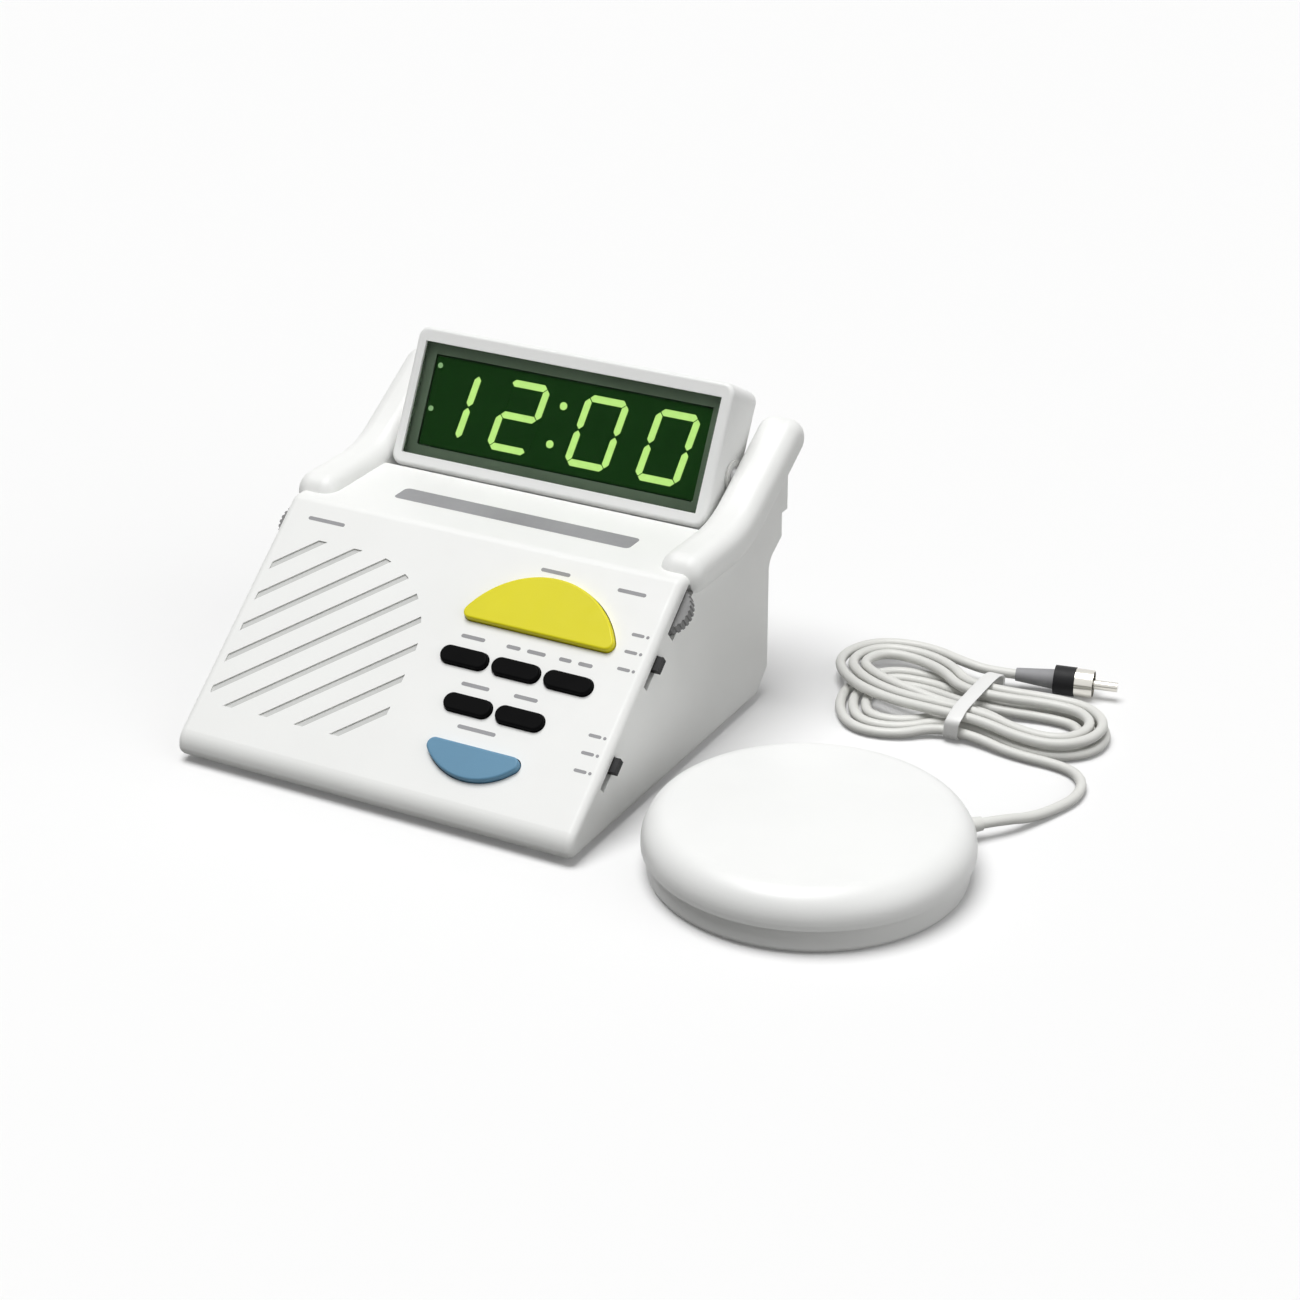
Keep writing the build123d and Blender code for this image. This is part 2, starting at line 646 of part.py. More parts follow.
# Right arm: a rounded rail and the web that stands it on the deck
with BuildPart() as right_arm:
    with BuildSketch(across(ARM_INNER_X, 0, 0)):
        with BuildLine():
            FilletPolyline(
                (ARM_NOSE_Y, ARM_NOSE_Z),
                (ARM_BEND_Y, ARM_NOSE_Z),
                (ARM_TIP_Y, ARM_TIP_Z),
                radius=ARM_BEND_RADIUS,
            )
        trace(line_width=2 * ARM_RADIUS)
        with Locations((ARM_NOSE_Y, ARM_NOSE_Z), (ARM_TIP_Y, ARM_TIP_Z)):
            Circle(ARM_RADIUS)
    extrude(amount=ARM_WIDTH)
    fillet(right_arm.faces().filter_by(Axis.X).edges(), radius=ARM_ROUND)
    with BuildSketch(across(ARM_INNER_X, 0, 0)):
        with BuildLine():
            Polyline(
                (ARM_NOSE_Y, ARM_FOOT_Z),
                (ARM_NOSE_Y, ARM_NOSE_Z),
                (ARM_BEND_Y, ARM_NOSE_Z),
                (ARM_TIP_Y, ARM_TIP_Z),
                (SHOULDER_Y, ARM_TIP_Z - ARM_RADIUS),
                (SHOULDER_Y, ARM_FOOT_Z),
                close=True,
            )
        make_face()
    extrude(amount=HALF_WIDTH - ARM_INNER_X)

# Hollow of the upper housing, with the trough under the head left standing
with BuildPart() as housing_hollow:
    with BuildSketch(Plane.YZ):
        side_outline()
        offset(amount=-WALL)
    extrude(amount=INNER_X, both=True)
    with BuildSketch(Plane.XY):
        plan_outline()
        offset(amount=-WALL)
    extrude(amount=DECK_HEIGHT, mode=Mode.INTERSECT)
    with BuildSketch(across(0, PIVOT_Y, PIVOT_Z)):
        Circle(WELL_RADIUS + WALL)
    extrude(amount=ARM_INNER_X + WALL, both=True, mode=Mode.SUBTRACT)

# Upper housing: sloping panel, deck, side walls and the two arms
with BuildPart() as upper_housing:
    with BuildSketch(Plane.YZ):
        side_outline()
    extrude(amount=HALF_WIDTH, both=True)
    fillet(upper_housing.faces().filter_by(Axis.X).edges(), radius=SIDE_EDGE)
    with BuildSketch(Plane.XY):
        plan_outline()
    extrude(amount=2 * DECK_HEIGHT, mode=Mode.INTERSECT)
    add(right_arm.part)
    mirror(right_arm.part, about=Plane.YZ)
    with BuildSketch(across(0, PIVOT_Y, PIVOT_Z)):
        Circle(WELL_RADIUS)
    extrude(amount=ARM_INNER_X, both=True, mode=Mode.SUBTRACT)
    add(housing_hollow.part, mode=Mode.SUBTRACT)
    with BuildSketch(Plane.XY.offset(HOUSING_BOTTOM)):
        base_outline(0)
    extrude(amount=2 * WALL, mode=Mode.SUBTRACT)
    # Screw columns at the back and short bosses under the toe
    with BuildSketch(Plane.XY.offset(TRAY_TOP)):
        with Locations(*BACK_BOSSES):
            Circle(BOSS_RADIUS)
    extrude(amount=CEILING + WALL / 2 - TRAY_TOP)
    with BuildSketch(Plane.XY.offset(TRAY_TOP)):
        with Locations(*FRONT_BOSSES):
            Circle(BOSS_RADIUS)
    extrude(amount=FRONT_BOSS_TOP - TRAY_TOP)
    with BuildSketch(Plane.XY.offset(TRAY_TOP)):
        with Locations(*BACK_BOSSES, *FRONT_BOSSES):
            Circle(SCREW_RADIUS + PILOT_GAP)
    extrude(amount=SCREW_BITE + PILOT_END, mode=Mode.SUBTRACT)
    # Posts behind the panel
    for posts, back in (
        (KEYPAD_POSTS, KEYPAD_DEPTH),
        (WHEEL_POSTS, WHEEL_BOARD_DEPTH),
        (SPEAKER_POSTS, SPEAKER_FLANGE_BACK),
    ):
        with BuildSketch(behind_panel(0, 0, WALL / 2)):
            with Locations(*posts):
                Circle(POST_RADIUS)
        extrude(amount=back - WALL / 2)
        pilot = min(SMALL_SCREW_BITE, back - WALL) + PILOT_END
        with BuildSketch(behind_panel(0, 0, back)):
            with Locations(*posts):
                Circle(SMALL_SCREW_RADIUS + PILOT_GAP)
        extrude(amount=-pilot, mode=Mode.SUBTRACT)
    # Key openings
    for _, x, drop, (shape, _, _), _ in KEYS:
        with BuildSketch(on_panel(x, drop, 0)):
            shape(KEY_GAP)
        extrude(amount=-WALL - FIT, mode=Mode.SUBTRACT)
    # Diagonal speaker slots, kept inside a field with one swept corner
    with BuildSketch(on_panel(SPEAKER_X, SPEAKER_DROP, 0)):
        for step in range(-SIDE_SLOT_COUNT, SIDE_SLOT_COUNT + 1):
            shift = step * SLOT_PITCH
            slot_angle = radians(SLOT_ANGLE)
            with Locations((-shift * sin(slot_angle), shift * cos(slot_angle))):
                Rectangle(2 * GRILLE_WIDTH, SLOT_WIDTH, rotation=SLOT_ANGLE)
        with BuildLine():
            FilletPolyline(
                (-GRILLE_WIDTH / 2, -GRILLE_HEIGHT / 2),
                (GRILLE_WIDTH / 2, -GRILLE_HEIGHT / 2),
                (GRILLE_WIDTH / 2, GRILLE_HEIGHT / 2),
                (-GRILLE_WIDTH / 2, GRILLE_HEIGHT / 2),
                radius=(GRILLE_CORNER, GRILLE_CORNER, GRILLE_SWEEP, GRILLE_CORNER),
                close=True,
            )
        make_face(mode=Mode.INTERSECT)
    extrude(amount=-WALL - FIT, mode=Mode.SUBTRACT)
    # Slots for the thumb wheels and the slide switches
    for side in (-1, 1):
        with BuildSketch(on_panel(side * (HALF_WIDTH - WALL / 2), WHEEL_DROP, WHEEL_DEPTH)):
            Rectangle(WALL + FIT, 2 * (WHEEL_RADIUS + WHEEL_SLOT_GAP))
        extrude(amount=WHEEL_THICKNESS / 2 + WHEEL_SLOT_GAP, both=True, mode=Mode.SUBTRACT)
    for share in SLIDER_SHARES:
        slot_drop = share * PANEL_LENGTH + SLIDER_TRAVEL / 2
        with BuildSketch(on_panel(HALF_WIDTH - WALL / 2, slot_drop, SLIDER_DEPTH)):
            Rectangle(WALL + FIT, SLIDER_LENGTH + SLIDER_TRAVEL + 2 * SLIDER_GAP)
        extrude(amount=SLIDER_WIDTH / 2 + SLIDER_GAP, both=True, mode=Mode.SUBTRACT)
    # Rear wall: battery opening, its hinge holes and the two sockets
    with BuildSketch(on_back(BAY_X, (BAY_BOTTOM + BAY_TOP) / 2, FIT)):
        Rectangle(BAY_WIDTH, BAY_HEIGHT)
    extrude(amount=-WALL - 2 * FIT, mode=Mode.SUBTRACT)
    with BuildSketch(across(BAY_X, HINGE_Y, HINGE_Z)):
        Circle(DOOR_PIN_RADIUS + DOOR_PIN_GAP)
    extrude(
        amount=DOOR_HALF_WIDTH + DOOR_PIN_LENGTH + FIT, both=True, mode=Mode.SUBTRACT
    )
    for x, barrel in ((SHAKER_JACK_X, PHONO_BARREL_RADIUS), (POWER_JACK_X, POWER_BARREL_RADIUS)):
        with BuildSketch(on_back(x, JACK_Z, FIT)):
            Circle(barrel + FIT)
        extrude(amount=-WALL - 2 * FIT, mode=Mode.SUBTRACT)
    # Blind holes in the arms for the tilt pins
    for side in (-1, 1):
        with BuildSketch(across(side * ARM_INNER_X, PIVOT_Y, PIVOT_Z)):
            Circle(PIN_RADIUS + PIN_RUNNING_GAP / 2)
        extrude(amount=side * PIN_IN_ARM, mode=Mode.SUBTRACT)

upper_housing.part.label = "upper_housing"
export_step(upper_housing.part, "parts/upper_housing.step")

# Base tray that closes the clock from below and stands on a low rim
with BuildPart() as base_tray:
    with BuildSketch(Plane.XY.offset(HOUSING_BOTTOM)):
        base_outline(FIT)
    extrude(amount=WALL)
    with BuildSketch(Plane.XY):
        base_outline(RIM_INSET)
        base_outline(RIM_INSET + RIM_WIDTH, mode=Mode.SUBTRACT)
    extrude(amount=HOUSING_BOTTOM)
    with BuildSketch(Plane.XY.offset(TRAY_TOP)):
        with Locations(*BOARD_POSTS):
            Circle(POST_RADIUS)
    extrude(amount=MAIN_BOARD_LIFT)
    with BuildSketch(Plane.XY.offset(MAIN_BOARD_Z)):
        with Locations(*BOARD_POSTS):
            Circle(SMALL_SCREW_RADIUS + PILOT_GAP)
    extrude(amount=-SMALL_SCREW_BITE - PILOT_END, mode=Mode.SUBTRACT)
    with BuildSketch(Plane.XY.offset(TRAY_TOP)):
        with Locations(*BACK_BOSSES, *FRONT_BOSSES):
            Circle(SCREW_RADIUS + SCREW_CLEARANCE)
    extrude(amount=-WALL, mode=Mode.SUBTRACT)
    with BuildSketch(Plane.XY.offset(TRAY_TOP)):
        with GridLocations(VENT_PITCH, 0, VENT_COUNT, 1):
            SlotOverall(VENT_LENGTH, VENT_WIDTH, rotation=90)
    extrude(amount=-WALL, mode=Mode.SUBTRACT)
base_tray.part.label = "base_tray"
export_step(base_tray.part, "parts/base_tray.step")

FOOT_X = OPENING_HALF_WIDTH - FOOT_INSET_X
FEET = tuple(
    (side * FOOT_X, y)
    for side in (-1, 1)
    for y in (OPENING_FRONT + FOOT_INSET_Y, OPENING_BACK - FOOT_INSET_Y)
)

# Four rubber feet inside the rim
with BuildPart() as rubber_feet:
    with BuildSketch(Plane.XY):
        with Locations(*FEET):
            Circle(FOOT_RADIUS)
    extrude(amount=HOUSING_BOTTOM)
rubber_feet.part.label = "rubber_feet"
export_step(rubber_feet.part, "parts/rubber_feet.step")

# Four screws from below into the housing
with BuildPart() as case_screws:
    for x, y in BACK_BOSSES + FRONT_BOSSES:
        seat = Plane(origin=(x, y, HOUSING_BOTTOM), x_dir=(1, 0, 0), z_dir=(0, 0, -1))
        screw(seat, WALL + SCREW_BITE, SCREW_RADIUS, SCREW_HEAD_RADIUS, SCREW_HEAD_HEIGHT)
case_screws.part.label = "case_screws"
export_step(case_screws.part, "parts/case_screws.step")

# Main board on the tray's posts
with BuildPart() as main_board:
    with BuildSketch(Plane.XY.offset(MAIN_BOARD_Z)):
        with Locations((0, MAIN_BOARD_MIDDLE)):
            Rectangle(2 * MAIN_BOARD_HALF_WIDTH, MAIN_BOARD_DEPTH)
        with Locations(*BOARD_POSTS):
            Circle(SMALL_SCREW_RADIUS + SCREW_CLEARANCE, mode=Mode.SUBTRACT)
    extrude(amount=BOARD_THICKNESS)
main_board.part.label = "main_board"
export_step(main_board.part, "parts/main_board.step")

# Chips, as x, distance from the board's front edge, width and depth
CHIPS = ((-30.0, 18.0, 22.0, 10.0), (2.0, 20.0, 14.0, 14.0), (22.0, 12.0, 8.0, 8.0))
# Capacitors, as x and distance from the board's front edge
CAPACITORS = ((38.0, 20.0), (38.0, 30.0), (-46.0, 30.0))

# Chips and capacitors standing on the main board
with BuildPart() as board_components:
    with BuildSketch(Plane.XY.offset(MAIN_BOARD_TOP)):
        for x, setback, chip_width, chip_depth in CHIPS:
            with Locations((x, MAIN_BOARD_FRONT + setback)):
                Rectangle(chip_width, chip_depth)
    extrude(amount=CHIP_HEIGHT)
    with BuildSketch(Plane.XY.offset(MAIN_BOARD_TOP)):
        for x, setback in CAPACITORS:
            with Locations((x, MAIN_BOARD_FRONT + setback)):
                Circle(CAPACITOR_RADIUS)
    extrude(amount=CAPACITOR_HEIGHT)
board_components.part.label = "board_components"
export_step(board_components.part, "parts/board_components.step")

# Four screws that hold the main board
with BuildPart() as board_screws:
    for x, y in BOARD_POSTS:
        screw(
            Plane(origin=(x, y, MAIN_BOARD_TOP), x_dir=(1, 0, 0), z_dir=(0, 0, 1)),
            BOARD_THICKNESS + SMALL_SCREW_BITE,
            SMALL_SCREW_RADIUS,
            SMALL_SCREW_HEAD_RADIUS,
            SMALL_SCREW_HEAD_HEIGHT,
        )
board_screws.part.label = "board_screws"
export_step(board_screws.part, "parts/board_screws.step")

# Keys: a cap through the panel, a flange behind it and a stem over the switch
for key_name, x, drop, (shape, flange, proud), stem_rise in KEYS:
    with BuildPart() as key:
        with BuildSketch(on_panel(x, drop, FLANGE_TOP)):
            shape(0)
        extrude(amount=FLANGE_TOP + proud)
        fillet(key.faces().sort_by(panel_axis)[-1].edges(), radius=KEY_EDGE)
        with BuildSketch(on_panel(x, drop, FLANGE_TOP)):
            flange()
        extrude(amount=-KEY_FLANGE_THICKNESS)
        with BuildSketch(on_panel(x, drop - stem_rise, FLANGE_BOTTOM)):
            Circle(KEY_STEM_RADIUS)
        extrude(amount=-KEY_STEM_LENGTH)
    key.part.label = key_name
    export_step(key.part, f"parts/{key_name}.step")

# Board behind the keys
with BuildPart() as keypad_board:
    with BuildSketch(behind_panel(0, 0, KEYPAD_DEPTH)):
        with Locations((KEYPAD_X, (KEYPAD_TOP + KEYPAD_LOW) / 2)):
            Rectangle(KEYPAD_WIDTH, KEYPAD_LOW - KEYPAD_TOP)
        with Locations(*KEYPAD_POSTS):
            Circle(SMALL_SCREW_RADIUS + SCREW_CLEARANCE, mode=Mode.SUBTRACT)
    extrude(amount=BOARD_THICKNESS)
keypad_board.part.label = "keypad_board"
export_step(keypad_board.part, "parts/keypad_board.step")

# One small switch under each key
with BuildPart() as tact_switches:
    for _, x, drop, _, stem_rise in KEYS:
        with BuildSketch(on_panel(x, drop - stem_rise, KEYPAD_DEPTH)):
            Rectangle(SWITCH_SIZE, SWITCH_SIZE)
        extrude(amount=SWITCH_HEIGHT)
        with BuildSketch(on_panel(x, drop - stem_rise, SWITCH_TOP)):
            Circle(PLUNGER_RADIUS)
        extrude(amount=PLUNGER_HEIGHT)
tact_switches.part.label = "tact_switches"
export_step(tact_switches.part, "parts/tact_switches.step")

# Screws behind the panel, into the posts of the key board, the wheel boards and the speaker
with BuildPart() as panel_screws:
    for posts, seat_depth, held, head_radius in (
        (KEYPAD_POSTS, KEYPAD_BACK, BOARD_THICKNESS, SMALL_SCREW_HEAD_RADIUS),
        (WHEEL_POSTS, WHEEL_BOARD_BACK, BOARD_THICKNESS, SMALL_SCREW_HEAD_RADIUS),
        (SPEAKER_POSTS, SPEAKER_FLANGE_BACK, 0, WIDE_SCREW_HEAD_RADIUS),
    ):
        bite = held + min(SMALL_SCREW_BITE, seat_depth - held - WALL)
        for x, drop in posts:
            screw(
                behind_panel(x, drop, seat_depth),
                bite,
                SMALL_SCREW_RADIUS,
                head_radius,
                SMALL_SCREW_HEAD_HEIGHT,
            )
panel_screws.part.label = "panel_screws"
export_step(panel_screws.part, "parts/panel_screws.step")

# Planes across the speaker: radius to the right and depth behind the panel upwards
speaker_face = behind_panel(SPEAKER_X, SPEAKER_DROP, 0)
speaker_axis = Axis(speaker_face.origin, speaker_face.z_dir)
speaker_side = Plane(
    origin=speaker_face.origin,
    x_dir=(1, 0, 0),
    z_dir=Vector(1, 0, 0).cross(speaker_face.z_dir),
)

# Soft ring between the speaker and the panel
with BuildPart() as speaker_gasket:
    with BuildSketch(behind_panel(SPEAKER_X, SPEAKER_DROP, WALL)):
        Circle(SPEAKER_RADIUS)
        Circle(SPEAKER_RADIUS - GASKET_WIDTH, mode=Mode.SUBTRACT)
    extrude(amount=GASKET)
speaker_gasket.part.label = "speaker_gasket"
export_step(speaker_gasket.part, "parts/speaker_gasket.step")

RIM_RADIUS = SPEAKER_RADIUS - GASKET_WIDTH

# Speaker frame: flange, tapering basket and the plate that carries the magnet
with BuildPart() as speaker_frame:
    with BuildSketch(speaker_side):
        with BuildLine():
            Polyline(
                (SPEAKER_RADIUS, SPEAKER_FRONT),
                (SPEAKER_RADIUS, SPEAKER_FLANGE_BACK),
                (RIM_RADIUS + SPEAKER_SKIN, SPEAKER_FLANGE_BACK),
                (MAGNET_RADIUS + SPEAKER_SKIN, SPEAKER_BACK_DEPTH),
                (0, SPEAKER_BACK_DEPTH),
                (0, SPEAKER_BACK_DEPTH - SPEAKER_SKIN),
                (MAGNET_RADIUS, SPEAKER_BACK_DEPTH - SPEAKER_SKIN),
                (RIM_RADIUS, SPEAKER_FLANGE_BACK),
                (RIM_RADIUS, SPEAKER_FRONT),
                close=True,
            )
        make_face()
    revolve(axis=speaker_axis)
speaker_frame.part.label = "speaker_frame"
export_step(speaker_frame.part, "parts/speaker_frame.step")

CONE_BACK = SPEAKER_FRONT + CONE_DEPTH

# Paper cone, held at the rim and standing on the plate through its coil tube
with BuildPart() as speaker_cone:
    with BuildSketch(speaker_side):
        with BuildLine():
            Polyline(
                (RIM_RADIUS, SPEAKER_FRONT),
                (RIM_RADIUS, SPEAKER_FRONT + SPEAKER_SKIN),
                (CONE_RADIUS - SPEAKER_SKIN, SPEAKER_FRONT + SPEAKER_SKIN),
                (CONE_APEX_RADIUS + SPEAKER_SKIN, CONE_BACK),
                (CONE_APEX_RADIUS + SPEAKER_SKIN, SPEAKER_BACK_DEPTH - SPEAKER_SKIN),
                (CONE_APEX_RADIUS, SPEAKER_BACK_DEPTH - SPEAKER_SKIN),
                (CONE_APEX_RADIUS, CONE_BACK - SPEAKER_SKIN),
                (CONE_RADIUS, SPEAKER_FRONT),
                close=True,
            )
        make_face()
    revolve(axis=speaker_axis)
    with BuildSketch(behind_panel(SPEAKER_X, SPEAKER_DROP, CONE_BACK - SPEAKER_SKIN)):
        Circle(CONE_APEX_RADIUS + SPEAKER_SKIN)
    extrude(amount=-SPEAKER_SKIN)
speaker_cone.part.label = "speaker_cone"
export_step(speaker_cone.part, "parts/speaker_cone.step")

# Ring magnet behind the frame
with BuildPart() as speaker_magnet:
    with BuildSketch(behind_panel(SPEAKER_X, SPEAKER_DROP, SPEAKER_BACK_DEPTH)):
        Circle(MAGNET_RADIUS)
    extrude(amount=MAGNET_THICKNESS)
speaker_magnet.part.label = "speaker_magnet"
export_step(speaker_magnet.part, "parts/speaker_magnet.step")

# Fluted thumb wheels with their shafts
for wheel_name, side in (("left_thumb_wheel", -1), ("right_thumb_wheel", 1)):
    wheel_top = WHEEL_DEPTH - WHEEL_THICKNESS / 2
    with BuildPart() as wheel:
        with BuildSketch(behind_panel(side * WHEEL_X, WHEEL_DROP, wheel_top)):
            Circle(WHEEL_RADIUS)
            with PolarLocations(WHEEL_RADIUS, WHEEL_FLUTE_COUNT):
                Circle(WHEEL_FLUTE_RADIUS, mode=Mode.SUBTRACT)
        extrude(amount=WHEEL_THICKNESS)
        with BuildSketch(behind_panel(side * WHEEL_X, WHEEL_DROP, wheel_top + WHEEL_THICKNESS)):
            Circle(WHEEL_SHAFT_RADIUS)
        extrude(amount=POT_HEIGHT)
    wheel.part.label = wheel_name
    export_step(wheel.part, f"parts/{wheel_name}.step")

# Two small potentiometers that the wheels turn
with BuildPart() as wheel_pots:
    for side in (-1, 1):
        with BuildSketch(behind_panel(side * POT_X, WHEEL_DROP, POT_DEPTH)):
            Rectangle(POT_LENGTH, POT_WIDTH)
            with Locations((side * (WHEEL_X - POT_X), 0)):
                Circle(WHEEL_SHAFT_RADIUS + WHEEL_SHAFT_GAP, mode=Mode.SUBTRACT)
        extrude(amount=POT_HEIGHT)
wheel_pots.part.label = "wheel_pots"
export_step(wheel_pots.part, "parts/wheel_pots.step")

# Boards that carry the potentiometers
with BuildPart() as wheel_boards:
    for side in (-1, 1):
        with BuildSketch(behind_panel(side * WHEEL_BOARD_X, WHEEL_DROP, WHEEL_BOARD_DEPTH)):
            Rectangle(WHEEL_BOARD_LENGTH, WHEEL_BOARD_WIDTH)
            with Locations((side * (WHEEL_POST_X - WHEEL_BOARD_X), 0)):
                Circle(SMALL_SCREW_RADIUS + SCREW_CLEARANCE, mode=Mode.SUBTRACT)
        extrude(amount=BOARD_THICKNESS)
wheel_boards.part.label = "wheel_boards"
export_step(wheel_boards.part, "parts/wheel_boards.step")

# Slide switches: a knob through the side wall and a body seated on its inner face
for knob_name, share in zip(("upper_slide_knob", "lower_slide_knob"), SLIDER_SHARES):
    knob_length = SLIDER_PROUD + WALL + SLIDER_ROOT
    with BuildPart() as slide_knob:
        with BuildSketch(on_panel(INNER_X - SLIDER_ROOT, share * PANEL_LENGTH, SLIDER_DEPTH)):
            Rectangle(knob_length, SLIDER_LENGTH, align=(Align.MIN, Align.CENTER))
        extrude(amount=SLIDER_WIDTH / 2, both=True)
    slide_knob.part.label = knob_name
    export_step(slide_knob.part, f"parts/{knob_name}.step")

with BuildPart() as slide_switches:
    for share in SLIDER_SHARES:
        slot_drop = share * PANEL_LENGTH + SLIDER_TRAVEL / 2
        with BuildSketch(on_panel(INNER_X, slot_drop, SLIDER_DEPTH)):
            Rectangle(SLIDER_BODY_HEIGHT, SLIDER_BODY_LENGTH, align=(Align.MAX, Align.CENTER))
        extrude(amount=SLIDER_BODY_WIDTH / 2, both=True)
        with BuildSketch(on_panel(INNER_X, slot_drop, SLIDER_DEPTH)):
            Rectangle(
                SLIDER_ROOT + SLIDER_GAP,
                SLIDER_LENGTH + SLIDER_TRAVEL + 2 * SLIDER_GAP,
                align=(Align.MAX, Align.CENTER),
            )
        extrude(amount=SLIDER_WIDTH / 2 + SLIDER_GAP, both=True, mode=Mode.SUBTRACT)
slide_switches.part.label = "slide_switches"
export_step(slide_switches.part, "parts/slide_switches.step")

BAY_FRONT = BACK_Y - BAY_DEPTH
BAY_MIDDLE_Z = (BAY_BOTTOM + BAY_TOP) / 2
BATTERY_X = BAY_X - BAY_WIDTH / 2 + BATTERY_GAP + BATTERY_LENGTH / 2

# Battery box behind the rear wall
with BuildPart() as battery_box:
    with BuildSketch(on_back(BAY_X, BAY_MIDDLE_Z, -WALL)):
        Rectangle(BAY_WIDTH + 2 * BAY_WALL, BAY_HEIGHT + 2 * BAY_WALL)
    extrude(amount=WALL - BAY_DEPTH - BAY_WALL)
    with BuildSketch(on_back(BAY_X, BAY_MIDDLE_Z, -WALL)):
        Rectangle(BAY_WIDTH, BAY_HEIGHT)
    extrude(amount=WALL - BAY_DEPTH, mode=Mode.SUBTRACT)
battery_box.part.label = "battery_box"
export_step(battery_box.part, "parts/battery_box.step")

# Backup battery lying on the floor of its box
with BuildPart() as battery:
    with BuildSketch(Plane.XY.offset(BAY_BOTTOM)):
        with Locations((BATTERY_X, BAY_FRONT + BATTERY_GAP + BATTERY_THICKNESS / 2)):
            Rectangle(BATTERY_LENGTH, BATTERY_THICKNESS)
    extrude(amount=BATTERY_HEIGHT)
battery.part.label = "battery"
export_step(battery.part, "parts/battery.step")

# Snap clip on the battery's end
with BuildPart() as battery_clip:
    with BuildSketch(across(BATTERY_X + BATTERY_LENGTH / 2, BAY_FRONT, BAY_BOTTOM)):
        Rectangle(BATTERY_THICKNESS, CLIP_HEIGHT, align=(Align.MIN, Align.MIN))
    extrude(amount=CLIP_THICKNESS)
battery_clip.part.label = "battery_clip"
export_step(battery_clip.part, "parts/battery_clip.step")

DOOR_TOP = BAY_TOP - DOOR_GAP

# Battery door with a round lower edge, stub pins and a finger notch
with BuildPart() as battery_door:
    with BuildSketch(across(BAY_X, HINGE_Y, HINGE_Z)):
        Circle(DOOR_THICKNESS / 2)
        Rectangle(DOOR_THICKNESS, DOOR_TOP - HINGE_Z, align=(Align.CENTER, Align.MIN))
    extrude(amount=DOOR_HALF_WIDTH, both=True)
    with BuildSketch(across(BAY_X, HINGE_Y, HINGE_Z)):
        Circle(DOOR_PIN_RADIUS)
    extrude(amount=DOOR_HALF_WIDTH + DOOR_PIN_LENGTH, both=True)
    with BuildSketch(on_back(BAY_X, DOOR_TOP, 0)):
        Circle(DOOR_NOTCH / 2)
    extrude(amount=-DOOR_NOTCH_DEPTH, mode=Mode.SUBTRACT)
battery_door.part.label = "battery_door"
export_step(battery_door.part, "parts/battery_door.step")

# Socket for the shaker's plug
with BuildPart() as shaker_jack:
    with BuildSketch(on_back(SHAKER_JACK_X, JACK_Z, -WALL)):
        Rectangle(JACK_WIDTH, JACK_HEIGHT)
    extrude(amount=-JACK_DEPTH)
    with BuildSketch(on_back(SHAKER_JACK_X, JACK_Z, -WALL)):
        Circle(PHONO_BARREL_RADIUS)
    extrude(amount=WALL + PHONO_BARREL_LENGTH)
    with BuildSketch(on_back(SHAKER_JACK_X, JACK_Z, PHONO_BARREL_LENGTH)):
        Circle(PHONO_BORE_RADIUS)
    extrude(amount=-PHONO_BORE_DEPTH, mode=Mode.SUBTRACT)
shaker_jack.part.label = "shaker_jack"
export_step(shaker_jack.part, "parts/shaker_jack.step")

# Power socket with its centre pin
with BuildPart() as power_jack:
    with BuildSketch(on_back(POWER_JACK_X, JACK_Z, -WALL)):
        Rectangle(JACK_WIDTH, JACK_HEIGHT)
    extrude(amount=-JACK_DEPTH)
    with BuildSketch(on_back(POWER_JACK_X, JACK_Z, -WALL)):
        Circle(POWER_BARREL_RADIUS)
    extrude(amount=WALL + POWER_BARREL_LENGTH)
    with BuildSketch(on_back(POWER_JACK_X, JACK_Z, POWER_BARREL_LENGTH)):
        Circle(POWER_BORE_RADIUS)
        Circle(POWER_PIN_RADIUS, mode=Mode.SUBTRACT)
    extrude(amount=-POWER_BORE_DEPTH, mode=Mode.SUBTRACT)
power_jack.part.label = "power_jack"
export_step(power_jack.part, "parts/power_jack.step")

HEAD_INNER_X = HEAD_HALF_WIDTH - HEAD_WALL
HEAD_BOSS_X = HEAD_INNER_X - HEAD_BOSS_RADIUS + FIT
HEAD_BOSS_TOP = HEAD_TOP - HEAD_WALL - HEAD_BOSS_RADIUS + FIT
HEAD_BOSS_LOW = HEAD_BOTTOM + HEAD_WALL + HEAD_BOSS_RADIUS - FIT
HEAD_BOSSES = tuple(
    (side * HEAD_BOSS_X, rise) for side in (-1, 1) for rise in (HEAD_BOSS_LOW, HEAD_BOSS_TOP)
)
LENS_BACK = HEAD_WALL + LENS_THICKNESS
MODULE_BACK = MODULE_DEPTH + MODULE_THICKNESS
DISPLAY_BOARD_BACK = MODULE_BACK + BOARD_THICKNESS
HEAD_SHELL_BACK = HEAD_DEPTH - HEAD_WALL
MODULE_WIDTH = WINDOW_WIDTH - 2 * MODULE_SIDE_MARGIN
MODULE_HEIGHT = WINDOW_HEIGHT - 2 * MODULE_END_MARGIN
DISPLAY_BOARD_WIDTH = WINDOW_WIDTH - 2 * DISPLAY_BOARD_SIDE_MARGIN
DISPLAY_BOARD_HEIGHT = WINDOW_HEIGHT - 2 * DISPLAY_BOARD_END_MARGIN
DISPLAY_POST_X = DISPLAY_BOARD_WIDTH / 2 - DISPLAY_POST_SIDE_INSET
